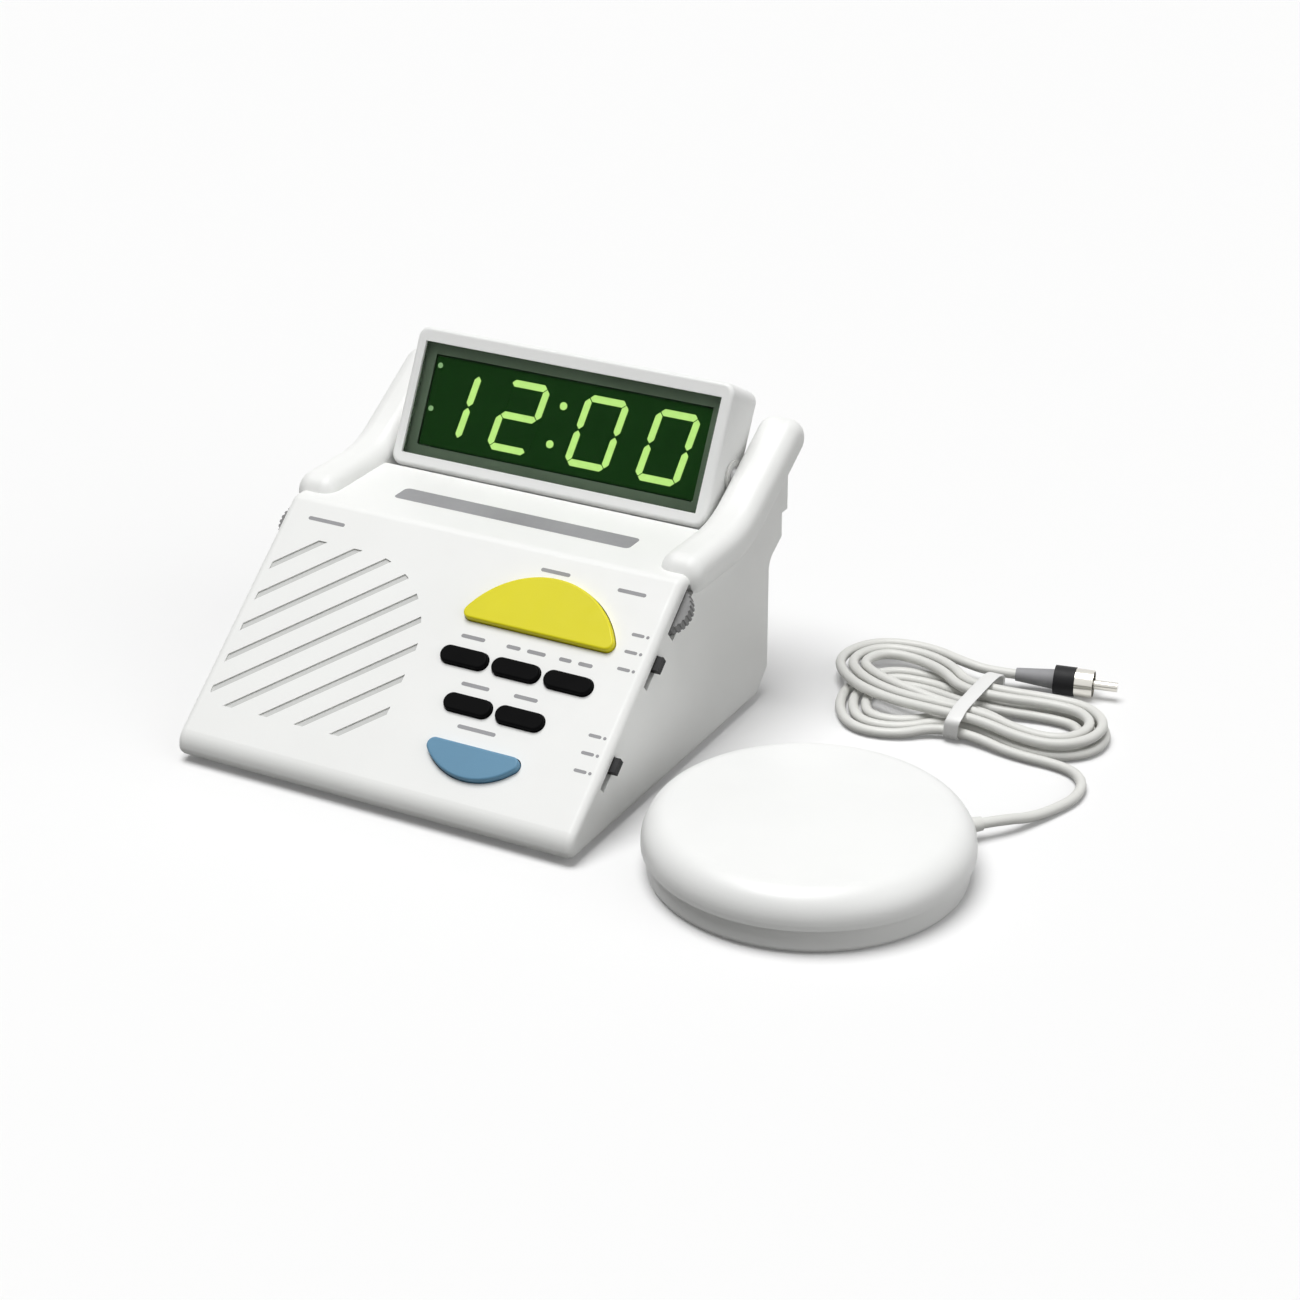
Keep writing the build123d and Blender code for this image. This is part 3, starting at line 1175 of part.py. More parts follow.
DISPLAY_POST_RISE = DISPLAY_BOARD_HEIGHT / 2 - DISPLAY_POST_END_INSET
DISPLAY_POSTS = tuple(
    (side * DISPLAY_POST_X, end * DISPLAY_POST_RISE) for side in (-1, 1) for end in (-1, 1)
)
DIGIT_X = tuple(share * WINDOW_WIDTH for share in DIGIT_SHARES)
COLON_X = COLON_SHARE * WINDOW_WIDTH
INDICATOR_X = INDICATOR_SHARE * WINDOW_WIDTH


def head_outline(inset):
    RectangleRounded(
        2 * (HEAD_HALF_WIDTH - inset), HEAD_HEIGHT - 2 * inset, HEAD_CORNER - inset
    )


# Front half of the head: a frame round the window
with BuildPart() as head_bezel:
    with BuildSketch(on_head(0, HEAD_MIDDLE, BEZEL_DEPTH)):
        head_outline(0)
    extrude(amount=BEZEL_DEPTH)
    fillet(head_bezel.faces().sort_by(head_axis)[-1].edges(), radius=HEAD_EDGE)
    with BuildSketch(on_head(0, HEAD_MIDDLE, BEZEL_DEPTH)):
        head_outline(HEAD_WALL)
    extrude(amount=BEZEL_DEPTH - HEAD_WALL, mode=Mode.SUBTRACT)
    with BuildSketch(on_head(0, 0, HEAD_WALL)):
        Rectangle(WINDOW_WIDTH, WINDOW_HEIGHT)
    extrude(amount=HEAD_WALL, mode=Mode.SUBTRACT)
    with BuildSketch(on_head(0, 0, BEZEL_DEPTH)):
        with Locations(*HEAD_BOSSES):
            Circle(HEAD_BOSS_RADIUS)
            Circle(SMALL_SCREW_RADIUS + PILOT_GAP, mode=Mode.SUBTRACT)
    extrude(amount=BEZEL_DEPTH - LENS_BACK)
    with BuildSketch(on_head(0, HEAD_MIDDLE, BEZEL_DEPTH)):
        head_outline(0)
    extrude(amount=BEZEL_DEPTH, mode=Mode.INTERSECT)
head_bezel.part.label = "head_bezel"
export_step(head_bezel.part, "parts/head_bezel.step")

# Rear half of the head, with screw posts, board posts and bosses for the tilt pins
with BuildPart() as head_rear_shell:
    with BuildSketch(on_head(0, HEAD_MIDDLE, HEAD_DEPTH)):
        head_outline(0)
    extrude(amount=HEAD_DEPTH - BEZEL_DEPTH)
    fillet(head_rear_shell.faces().sort_by(head_axis)[0].edges(), radius=HEAD_EDGE)
    with BuildSketch(on_head(0, HEAD_MIDDLE, HEAD_SHELL_BACK)):
        head_outline(HEAD_WALL)
    extrude(amount=HEAD_SHELL_BACK - BEZEL_DEPTH, mode=Mode.SUBTRACT)
    with BuildSketch(on_head(0, 0, HEAD_SHELL_BACK)):
        with Locations(*HEAD_BOSSES):
            Circle(HEAD_BOSS_RADIUS)
    extrude(amount=HEAD_SHELL_BACK - BEZEL_DEPTH)
    with BuildSketch(on_head(0, 0, HEAD_SHELL_BACK)):
        with Locations(*DISPLAY_POSTS):
            Circle(POST_RADIUS)
    extrude(amount=HEAD_SHELL_BACK - DISPLAY_BOARD_BACK)
    with BuildSketch(on_head(0, 0, HEAD_SHELL_BACK)):
        with Locations(*DISPLAY_POSTS):
            Circle(PEG_RADIUS)
    extrude(amount=HEAD_SHELL_BACK - MODULE_BACK - PEG_GAP)
    for side in (-1, 1):
        with BuildSketch(across(side * HEAD_INNER_X, PIVOT_Y, PIVOT_Z)):
            Circle(PIVOT_BOSS_RADIUS)
        extrude(amount=-side * PIVOT_BOSS_LENGTH)
    with BuildSketch(across(0, PIVOT_Y, PIVOT_Z)):
        Circle(PIN_RADIUS + PIN_RUNNING_GAP)
    extrude(amount=HEAD_HALF_WIDTH, both=True, mode=Mode.SUBTRACT)
    with BuildSketch(on_head(0, 0, HEAD_DEPTH)):
        with Locations(*HEAD_BOSSES):
            Circle(SMALL_SCREW_HEAD_RADIUS + SCREW_CLEARANCE)
    extrude(amount=HEAD_DEPTH - HEAD_SCREW_SEAT, mode=Mode.SUBTRACT)
    with BuildSketch(on_head(0, 0, HEAD_SCREW_SEAT)):
        with Locations(*HEAD_BOSSES):
            Circle(SMALL_SCREW_RADIUS + SCREW_CLEARANCE)
    extrude(amount=HEAD_SCREW_SEAT - BEZEL_DEPTH, mode=Mode.SUBTRACT)
head_rear_shell.part.label = "head_rear_shell"
export_step(head_rear_shell.part, "parts/head_rear_shell.step")

# Screws from the back of the head into the frame
with BuildPart() as head_screws:
    for x, rise in HEAD_BOSSES:
        screw(
            behind_head(x, rise, HEAD_SCREW_SEAT),
            HEAD_SCREW_SEAT - LENS_BACK - PILOT_END,
            SMALL_SCREW_RADIUS,
            SMALL_SCREW_HEAD_RADIUS,
            SMALL_SCREW_HEAD_HEIGHT,
        )
head_screws.part.label = "head_screws"
export_step(head_screws.part, "parts/head_screws.step")

# Dark window: a plate behind the frame with a raised middle that fills the opening
with BuildPart() as display_lens:
    with BuildSketch(on_head(0, 0, LENS_BACK)):
        Rectangle(WINDOW_WIDTH + 2 * LENS_FLANGE, WINDOW_HEIGHT + 2 * LENS_FLANGE)
    extrude(amount=LENS_THICKNESS)
    with BuildSketch(on_head(0, 0, HEAD_WALL)):
        Rectangle(WINDOW_WIDTH - 2 * LENS_GAP, WINDOW_HEIGHT - 2 * LENS_GAP)
    extrude(amount=HEAD_WALL - LENS_RECESS)
display_lens.part.label = "display_lens"
export_step(display_lens.part, "parts/display_lens.step")

# Block that carries the lit segments
with BuildPart() as led_module:
    with BuildSketch(on_head(0, 0, MODULE_BACK)):
        Rectangle(MODULE_WIDTH, MODULE_HEIGHT)
    extrude(amount=MODULE_THICKNESS)
led_module.part.label = "led_module"
export_step(led_module.part, "parts/led_module.step")

# Board behind the display
with BuildPart() as display_board:
    with BuildSketch(on_head(0, 0, DISPLAY_BOARD_BACK)):
        Rectangle(DISPLAY_BOARD_WIDTH, DISPLAY_BOARD_HEIGHT)
        with Locations(*DISPLAY_POSTS):
            Circle(PEG_RADIUS + PEG_GAP, mode=Mode.SUBTRACT)
    extrude(amount=BOARD_THICKNESS)
display_board.part.label = "display_board"
export_step(display_board.part, "parts/display_board.step")

# Ends of the seven segments of a digit, in halves of its width and height.
# The first digit has only the two segments of a one.
SEGMENTS = {
    "top": ((-1, 1), (1, 1)),
    "middle": ((-1, 0), (1, 0)),
    "low": ((-1, -1), (1, -1)),
    "upper_left": ((-1, 0), (-1, 1)),
    "upper_right": ((1, 0), (1, 1)),
    "lower_left": ((-1, -1), (-1, 0)),
    "lower_right": ((1, -1), (1, 0)),
}
ONE = ("upper_right", "lower_right")
TWO = ("top", "upper_right", "middle", "lower_left", "low")
ZERO = ("top", "upper_left", "upper_right", "lower_left", "lower_right", "low")
SHOWN = (ONE, TWO, ZERO, ZERO)
PRESENT = (ONE, tuple(SEGMENTS), tuple(SEGMENTS), tuple(SEGMENTS))


def segment(digit_x, ends):
    """Six-sided segment between two corners of a digit, leaning with the digit."""
    first, last = (Vector(x * DIGIT_WIDTH / 2, y * DIGIT_HEIGHT / 2) for x, y in ends)
    along = (last - first).normalized()
    beside = Vector(-along.Y, along.X) * (SEGMENT_WIDTH / 2)
    tip = along * SEGMENT_GAP
    shoulder = along * (SEGMENT_GAP + SEGMENT_WIDTH / 2)
    corners = (
        first + tip,
        first + shoulder + beside,
        last - shoulder + beside,
        last - tip,
        last - shoulder - beside,
        first + shoulder - beside,
    )
    lean = tan(radians(DIGIT_SLANT))
    with BuildLine() as outline:
        Polyline(
            *((digit_x + corner.X + corner.Y * lean, corner.Y) for corner in corners), close=True
        )
    make_face(outline.edges())


# Lit segments, colon and indicator dots
with BuildPart() as lit_segments:
    with BuildSketch(on_head(0, 0, MODULE_DEPTH)):
        for digit_x, shown in zip(DIGIT_X, SHOWN):
            for name in shown:
                segment(digit_x, SEGMENTS[name])
        colon_lean = COLON_RISE * tan(radians(DIGIT_SLANT))
        with Locations((COLON_X + colon_lean, COLON_RISE), (COLON_X - colon_lean, -COLON_RISE)):
            Circle(COLON_RADIUS)
        with Locations(*((INDICATOR_X, rise) for rise in INDICATOR_RISES)):
            Circle(INDICATOR_RADIUS)
    extrude(amount=SEGMENT_THICKNESS)
lit_segments.part.label = "lit_segments"
export_step(lit_segments.part, "parts/lit_segments.step")

# Segments that stay dark
with BuildPart() as dark_segments:
    with BuildSketch(on_head(0, 0, MODULE_DEPTH)):
        for digit_x, shown, present in zip(DIGIT_X, SHOWN, PRESENT):
            for name in present:
                if name not in shown:
                    segment(digit_x, SEGMENTS[name])
    extrude(amount=SEGMENT_THICKNESS)
dark_segments.part.label = "dark_segments"
export_step(dark_segments.part, "parts/dark_segments.step")

PIN_INNER_X = HEAD_INNER_X - PIVOT_BOSS_LENGTH - WASHER_GAP

# Pins fixed in the arms, on which the head tilts
with BuildPart() as tilt_pins:
    for side in (-1, 1):
        with BuildSketch(across(side * PIN_INNER_X, PIVOT_Y, PIVOT_Z)):
            Circle(PIN_FLANGE_RADIUS)
        extrude(amount=-side * PIN_FLANGE)
        with BuildSketch(across(side * PIN_INNER_X, PIVOT_Y, PIVOT_Z)):
            Circle(PIN_RADIUS)
        extrude(amount=side * (ARM_INNER_X + PIN_IN_ARM - PIN_END_GAP - PIN_INNER_X))
tilt_pins.part.label = "tilt_pins"
export_step(tilt_pins.part, "parts/tilt_pins.step")

# Friction washers between the head and the arms
with BuildPart() as friction_washers:
    for side in (-1, 1):
        with BuildSketch(across(side * (HEAD_HALF_WIDTH + WASHER_GAP), PIVOT_Y, PIVOT_Z)):
            Circle(WASHER_RADIUS)
            Circle(PIN_RADIUS + WASHER_GAP, mode=Mode.SUBTRACT)
        extrude(amount=side * (ARM_GAP - 2 * WASHER_GAP))
friction_washers.part.label = "friction_washers"
export_step(friction_washers.part, "parts/friction_washers.step")

# Bed shaker, drawn as radius and height from its own middle
shaker_axis = Axis((SHAKER_X, SHAKER_Y, 0), (0, 0, 1))
shaker_side = Plane(origin=(SHAKER_X, SHAKER_Y, 0), x_dir=(1, 0, 0), z_dir=(0, -1, 0))
BASE_RADIUS = SHAKER_RADIUS - SHAKER_BASE_INSET
BASE_INNER_RADIUS = BASE_RADIUS - SHAKER_BASE_WALL
LID_INNER_RADIUS = SHAKER_RADIUS - SHAKER_WALL
LIP_RADIUS = LID_INNER_RADIUS - FIT
SHAKER_BOSSES = tuple(
    (
        SHAKER_X + SHAKER_SCREW_CIRCLE * cos(radians(angle)),
        SHAKER_Y + SHAKER_SCREW_CIRCLE * sin(radians(angle)),
    )
    for angle in SHAKER_SCREW_ANGLES
)
MOTOR_X = SHAKER_X + MOTOR_OFFSET
MOTOR_Z = SHAKER_WALL + MOTOR_LIFT + MOTOR_RADIUS
MOTOR_END_X = MOTOR_X + MOTOR_LENGTH / 2
STRAP_INNER = MOTOR_RADIUS + MOTOR_FIT
STRAP_OUTER = STRAP_INNER + STRAP_THICKNESS
STRAP_SEAT = SHAKER_WALL + STRAP_LIFT
STRAP_POST_REACH = STRAP_OUTER + STRAP_POST_RADIUS
STRAP_POSTS = (
    (MOTOR_X, SHAKER_Y - STRAP_POST_REACH),
    (MOTOR_X, SHAKER_Y + STRAP_POST_REACH),
)
exit_direction = Vector(cos(radians(CORD_EXIT_ANGLE)), sin(radians(CORD_EXIT_ANGLE)))
shaker_middle = Vector(SHAKER_X, SHAKER_Y, CORD_EXIT_Z)


def at_exit(reach):
    """Plane facing out of the shaker along its cord, at a distance from its middle."""
    return Plane(origin=shaker_middle + exit_direction * reach, x_dir=(0, 0, 1), z_dir=exit_direction)


def dome(radius, top):
    """Half section of the domed lid above its split."""
    with BuildLine() as outline:
        Line((0, SHAKER_SPLIT), (radius, SHAKER_SPLIT))
        Line((radius, SHAKER_SPLIT), (radius, top - SHAKER_CROWN))
        crown_radius = (SHAKER_RADIUS**2 + SHAKER_CROWN**2) / (2 * SHAKER_CROWN)
        sag = crown_radius - sqrt(crown_radius**2 - (radius / 2) ** 2)
        ThreePointArc((radius, top - SHAKER_CROWN), (radius / 2, top - sag), (0, top))
        Line((0, top), (0, SHAKER_SPLIT))
    make_face(outline.edges())


# Domed lid of the shaker
with BuildPart() as shaker_lid:
    with BuildSketch(shaker_side) as lid_section:
        dome(SHAKER_RADIUS, SHAKER_HEIGHT)
        fillet(lid_section.vertices().sort_by(lambda vertex: vertex.X + vertex.Y)[-1], SHAKER_ROUND)
    revolve(axis=shaker_axis)
    with BuildSketch(shaker_side) as lid_hollow:
        dome(LID_INNER_RADIUS, SHAKER_HEIGHT - SHAKER_WALL)
        fillet(
            lid_hollow.vertices().sort_by(lambda vertex: vertex.X + vertex.Y)[-1],
            SHAKER_ROUND - SHAKER_WALL,
        )
    revolve(axis=shaker_axis, mode=Mode.SUBTRACT)
    with BuildSketch(Plane.XY.offset(SHAKER_SPLIT)):
        with Locations(*SHAKER_BOSSES):
            Circle(SHAKER_BOSS_RADIUS)
    extrude(amount=SHAKER_HEIGHT - SHAKER_CROWN - SHAKER_SPLIT)
    with BuildSketch(Plane.XY.offset(SHAKER_SPLIT)):
        with Locations(*SHAKER_BOSSES):
            Circle(SMALL_SCREW_RADIUS + PILOT_GAP)
    extrude(amount=SMALL_SCREW_BITE + PILOT_END, mode=Mode.SUBTRACT)
shaker_lid.part.label = "shaker_lid"
export_step(shaker_lid.part, "parts/shaker_lid.step")

# Lower shell of the shaker, with a lip for the lid, screw posts and saddles for the motor
with BuildPart() as shaker_base:
    with BuildSketch(Plane.XY):
        with Locations((SHAKER_X, SHAKER_Y)):
            Circle(BASE_RADIUS)
    extrude(amount=SHAKER_SPLIT)
    fillet(shaker_base.faces().sort_by(Axis.Z)[0].edges(), radius=SHAKER_BASE_EDGE)
    with BuildSketch(Plane.XY.offset(SHAKER_SPLIT)):
        with Locations((SHAKER_X, SHAKER_Y)):
            Circle(LIP_RADIUS)
    extrude(amount=SHAKER_LIP_HEIGHT)
    with BuildSketch(Plane.XY.offset(SHAKER_WALL)):
        with Locations((SHAKER_X, SHAKER_Y)):
            Circle(BASE_INNER_RADIUS)
    extrude(amount=SHAKER_SPLIT + SHAKER_LIP_HEIGHT - SHAKER_WALL, mode=Mode.SUBTRACT)
    with BuildSketch(Plane.XY.offset(SHAKER_WALL / 2)):
        with Locations(*SHAKER_BOSSES):
            Circle(SHAKER_BOSS_RADIUS)
    extrude(amount=SHAKER_SPLIT - SHAKER_WALL / 2)
    with BuildSketch(Plane.XY.offset(SHAKER_SPLIT)):
        with Locations(*SHAKER_BOSSES):
            Circle(SMALL_SCREW_RADIUS + SCREW_CLEARANCE)
    extrude(amount=-SHAKER_SPLIT, mode=Mode.SUBTRACT)
    with BuildSketch(Plane.XY):
        with Locations(*SHAKER_BOSSES):
            Circle(SMALL_SCREW_HEAD_RADIUS + SCREW_CLEARANCE)
    extrude(amount=SHAKER_SCREW_RECESS, mode=Mode.SUBTRACT)
    with BuildSketch(Plane.XY.offset(SHAKER_WALL / 2)):
        with Locations(*STRAP_POSTS):
            Circle(STRAP_POST_RADIUS)
    extrude(amount=STRAP_SEAT - SHAKER_WALL / 2)
    with BuildSketch(Plane.XY.offset(STRAP_SEAT)):
        with Locations(*STRAP_POSTS):
            Circle(SMALL_SCREW_RADIUS + PILOT_GAP)
    extrude(amount=-SMALL_SCREW_BITE - PILOT_END, mode=Mode.SUBTRACT)
    with BuildSketch(Plane.XY.offset(SHAKER_WALL / 2)):
        with Locations((MOTOR_X - SADDLE_REACH, SHAKER_Y), (MOTOR_X + SADDLE_REACH, SHAKER_Y)):
            Rectangle(SADDLE_WIDTH, 2 * MOTOR_RADIUS)
    extrude(amount=SADDLE_HEIGHT)
    with BuildSketch(across(MOTOR_X, SHAKER_Y, MOTOR_Z)):
        Circle(MOTOR_RADIUS + MOTOR_FIT)
    extrude(amount=MOTOR_LENGTH / 2, both=True, mode=Mode.SUBTRACT)
    with BuildSketch(at_exit(BASE_INNER_RADIUS - RELIEF_FIT)):
        Circle(RELIEF_RADIUS + RELIEF_FIT)
    extrude(amount=2 * SHAKER_BASE_WALL, mode=Mode.SUBTRACT)
shaker_base.part.label = "shaker_base"
export_step(shaker_base.part, "parts/shaker_base.step")

# Screws of the shaker: three through its base and two through the motor strap
with BuildPart() as shaker_screws:
    for x, y in SHAKER_BOSSES:
        screw(
            Plane(origin=(x, y, SHAKER_SCREW_RECESS), x_dir=(1, 0, 0), z_dir=(0, 0, -1)),
            SHAKER_SPLIT - SHAKER_SCREW_RECESS + SMALL_SCREW_BITE,
            SMALL_SCREW_RADIUS,
            SMALL_SCREW_HEAD_RADIUS,
            SMALL_SCREW_HEAD_HEIGHT,
        )
    for x, y in STRAP_POSTS:
        screw(
            Plane(origin=(x, y, STRAP_SEAT + STRAP_THICKNESS), x_dir=(1, 0, 0), z_dir=(0, 0, 1)),
            STRAP_THICKNESS + SMALL_SCREW_BITE,
            SMALL_SCREW_RADIUS,
            SMALL_SCREW_HEAD_RADIUS,
            SMALL_SCREW_HEAD_HEIGHT,
        )
shaker_screws.part.label = "shaker_screws"
export_step(shaker_screws.part, "parts/shaker_screws.step")

# Motor lying in its saddles
with BuildPart() as shaker_motor:
    with BuildSketch(across(MOTOR_X, SHAKER_Y, MOTOR_Z)):
        Circle(MOTOR_RADIUS)
    extrude(amount=MOTOR_LENGTH / 2, both=True)
    with BuildSketch(across(MOTOR_END_X, SHAKER_Y, MOTOR_Z)):
        Circle(SHAFT_RADIUS + SHAFT_GAP)
    extrude(amount=-SHAFT_IN_MOTOR - SHAFT_END, mode=Mode.SUBTRACT)
shaker_motor.part.label = "shaker_motor"
export_step(shaker_motor.part, "parts/shaker_motor.step")

# Strap over the motor
with BuildPart() as motor_strap:
    with BuildSketch(across(MOTOR_X, SHAKER_Y, 0)):
        with Locations((0, MOTOR_Z)):
            Circle(STRAP_OUTER)
        with Locations((0, STRAP_SEAT)):
            Rectangle(2 * STRAP_OUTER, MOTOR_Z - STRAP_SEAT, align=(Align.CENTER, Align.MIN))
            Rectangle(
                2 * (STRAP_POST_REACH + STRAP_POST_RADIUS),
                STRAP_THICKNESS,
                align=(Align.CENTER, Align.MIN),
            )
        with Locations((0, MOTOR_Z)):
            Circle(STRAP_INNER, mode=Mode.SUBTRACT)
        with Locations((0, STRAP_SEAT)):
            Rectangle(
                2 * STRAP_INNER,
                MOTOR_Z - STRAP_SEAT,
                align=(Align.CENTER, Align.MIN),
                mode=Mode.SUBTRACT,
            )
            Rectangle(
                4 * STRAP_OUTER, STRAP_SEAT, align=(Align.CENTER, Align.MAX), mode=Mode.SUBTRACT
            )
    extrude(amount=STRAP_WIDTH / 2, both=True)
    with BuildSketch(Plane.XY.offset(STRAP_SEAT)):
        with Locations(*STRAP_POSTS):
            Circle(SMALL_SCREW_RADIUS + SCREW_CLEARANCE)
    extrude(amount=STRAP_THICKNESS, mode=Mode.SUBTRACT)
motor_strap.part.label = "motor_strap"
export_step(motor_strap.part, "parts/motor_strap.step")

WEIGHT_START_X = MOTOR_END_X + WEIGHT_GAP

# Motor shaft
with BuildPart() as motor_shaft:
    with BuildSketch(across(MOTOR_END_X - SHAFT_IN_MOTOR, SHAKER_Y, MOTOR_Z)):
        Circle(SHAFT_RADIUS)
    extrude(amount=SHAFT_IN_MOTOR + WEIGHT_GAP + WEIGHT_LENGTH + SHAFT_END)
motor_shaft.part.label = "motor_shaft"
export_step(motor_shaft.part, "parts/motor_shaft.step")

# Off-centre weight, hanging below the shaft
with BuildPart() as eccentric_weight:
    with BuildSketch(across(WEIGHT_START_X, SHAKER_Y, MOTOR_Z)):
        Circle(WEIGHT_RADIUS)
        Rectangle(
            2 * WEIGHT_RADIUS,
            WEIGHT_RADIUS,
            align=(Align.CENTER, Align.MIN),
            mode=Mode.SUBTRACT,
        )
        Circle(WEIGHT_HUB_RADIUS)
        Circle(SHAFT_RADIUS + WEIGHT_FIT, mode=Mode.SUBTRACT)
    extrude(amount=WEIGHT_LENGTH)
eccentric_weight.part.label = "eccentric_weight"
export_step(eccentric_weight.part, "parts/eccentric_weight.step")

RELIEF_TIP = BASE_RADIUS + RELIEF_LENGTH

# Sleeve where the cord leaves the shaker
with BuildPart() as cord_relief:
    with BuildSketch(at_exit(BASE_INNER_RADIUS)):
        Circle(RELIEF_RADIUS)
    extrude(amount=BASE_RADIUS - BASE_INNER_RADIUS)
    with BuildSketch(at_exit(BASE_RADIUS)):
        Circle(RELIEF_RADIUS)
    with BuildSketch(at_exit(RELIEF_TIP)):
        Circle(RELIEF_TIP_RADIUS)
    loft()
cord_relief.part.label = "cord_relief"
export_step(cord_relief.part, "parts/cord_relief.step")

# Hank of the cord: flat loops in two layers, drawn in at the waist by a tie
WAIST_Z = TIE_THICKNESS + TIE_GAP + CORD_RADIUS
RIGHT_SHOULDER = HANK_RIGHT_END - HANK_RIGHT_HALF_WIDTH
CORD_LEAD_IN = 2 * CORD_RADIUS
hank_origin = Vector(HANK_X, HANK_Y)
LEFT = Vector(-1, 0)
RIGHT = Vector(1, 0)
AWAY = Vector(0, 1)
TOWARDS = Vector(0, -1)
LOOP_PLACE_COUNT = 8
SAME_DIRECTION = 1e-9


def hank_stop(progress, place):
    """Point and direction of the cord at one of the eight places round a loop."""
    layer = int(progress >= HANK_LAYER_TURN_COUNT)
    turns_in = min(progress, 2 * HANK_LAYER_TURN_COUNT - progress)
    step = HANK_PITCH * turns_in
    right = HANK_RIGHT_HALF_WIDTH - step
    waist = HANK_WAIST_HALF_WIDTH - HANK_WAIST_PITCH * turns_in
    left = LOBE_HALF_WIDTHS[layer] - LOBE_PITCH * turns_in
    shoulder = LOBE_SHOULDERS[layer]
    lobe_end = LOBE_LENGTHS[layer] - step
    climb = (progress - HANK_LAYER_TURN_COUNT) / HANK_CLIMB_SHARE
    climbed = HANK_LAYER_RISE * min(max(climb, 0), 1)
    low = CORD_ON_TABLE_Z + climbed
    stops = (
        (Vector(RIGHT_SHOULDER, -right, low), LEFT),
        (Vector(0, -waist, WAIST_Z + climbed), LEFT),
        (Vector(-shoulder, -left, low), LEFT),
        (Vector(-lobe_end, 0, low), AWAY),
        (Vector(-shoulder, left, low), RIGHT),
        (Vector(0, waist, WAIST_Z + climbed), RIGHT),
        (Vector(RIGHT_SHOULDER, right, low), RIGHT),
        (Vector(HANK_RIGHT_END - step, 0, low), TOWARDS),
    )
    point, direction = stops[place]
    if point.X < 0:
        point = point.rotate(Axis.Z, LOBE_ANGLES[layer])
        direction = direction.rotate(Axis.Z, LOBE_ANGLES[layer])
    return hank_origin + point, direction


def biarc(start, start_direction, end, end_direction):
    """Two arcs that leave and arrive in the given directions."""
    span = end - start
    both = start_direction + end_direction
    bend = 2 * (1 - start_direction.dot(end_direction))
    if bend < SAME_DIRECTION:
        reach = span.dot(span) / (2 * span.dot(both))
    else:
        along = span.dot(both)
        reach = (sqrt(along**2 + bend * span.dot(span)) - along) / bend
    first_corner = start + start_direction * reach
    second_corner = end - end_direction * reach
    joint = (first_corner + second_corner) * 0.5
    TangentArc(start, joint, tangent=start_direction)
    TangentArc(joint, end, tangent=second_corner - first_corner)


# The cord leaves half-way round the last loop
LAST_STOP = 2 * HANK_LAYER_TURN_COUNT * LOOP_PLACE_COUNT - LOOP_PLACE_COUNT // 2
hank_stops = [
    hank_stop(number / LOOP_PLACE_COUNT, number % LOOP_PLACE_COUNT)
    for number in range(LAST_STOP + 1)
]
hank_start = hank_stops[0][0] - hank_stops[0][1] * CORD_LEAD_IN
hank_end = hank_stops[-1][0] + hank_stops[-1][1] * CORD_LEAD_IN

with BuildPart() as cord_hank:
    with BuildLine() as hank_line:
        Line(hank_start, hank_stops[0][0])
        for (start, start_direction), (end, end_direction) in zip(hank_stops, hank_stops[1:]):
            biarc(start, start_direction, end, end_direction)
        Line(hank_stops[-1][0], hank_end)
    with BuildSketch(Plane(origin=hank_start, z_dir=hank_stops[0][1])):
        Circle(CORD_RADIUS)
    sweep(path=hank_line.wire())
cord_hank.part.label = "cord_hank"
export_step(cord_hank.part, "parts/cord_hank.step")


def least_gap(line, spacing):
    """Smallest gap of a tube to itself, between points that are not next to each other."""
    points = []
    for edge in line.edges():
        count = max(2, round(edge.length / spacing))
        points += [edge.position_at(step / count) for step in range(count)]
    apart = round(4 * CORD_RADIUS * 2 / spacing)
    nearest = min(
        (first.X - other.X) ** 2 + (first.Y - other.Y) ** 2 + (first.Z - other.Z) ** 2
        for number, first in enumerate(points)
        for other in points[number + apart :]
    )
    return sqrt(nearest) - 2 * CORD_RADIUS


def report_tube(name, part, length):
    """Compare a tube's volume with its section times its length."""
    ratio = part.volume / (pi * CORD_RADIUS**2 * length)
    print(f"{name}: length {length:.1f} mm, volume over section times length {ratio:.4f}")


print(f"cord_hank: least gap to itself {least_gap(hank_line, 1.0):.2f} mm")
hank_arcs = hank_line.edges().filter_by(GeomType.CIRCLE)
print(f"cord_hank: tightest radius {min(arc.radius for arc in hank_arcs):.1f} mm")
report_tube("cord_hank", cord_hank.part, hank_line.wire().length)

# Tie round the waist of the hank
TIE_INNER_WIDTH = 2 * (HANK_WAIST_HALF_WIDTH + CORD_RADIUS + TIE_GAP)
TIE_INNER_HEIGHT = HANK_LAYER_RISE + 2 * (CORD_RADIUS + TIE_GAP)
with BuildPart() as hank_tie:
    with BuildSketch(across(HANK_X, HANK_Y, TIE_THICKNESS + TIE_INNER_HEIGHT / 2)):
        RectangleRounded(
            TIE_INNER_WIDTH + 2 * TIE_THICKNESS, TIE_INNER_HEIGHT + 2 * TIE_THICKNESS, TIE_CORNER
        )
        RectangleRounded(
            TIE_INNER_WIDTH, TIE_INNER_HEIGHT, TIE_CORNER - TIE_THICKNESS, mode=Mode.SUBTRACT
        )
    extrude(amount=TIE_WIDTH / 2, both=True)
hank_tie.part.label = "hank_tie"
export_step(hank_tie.part, "parts/hank_tie.step")

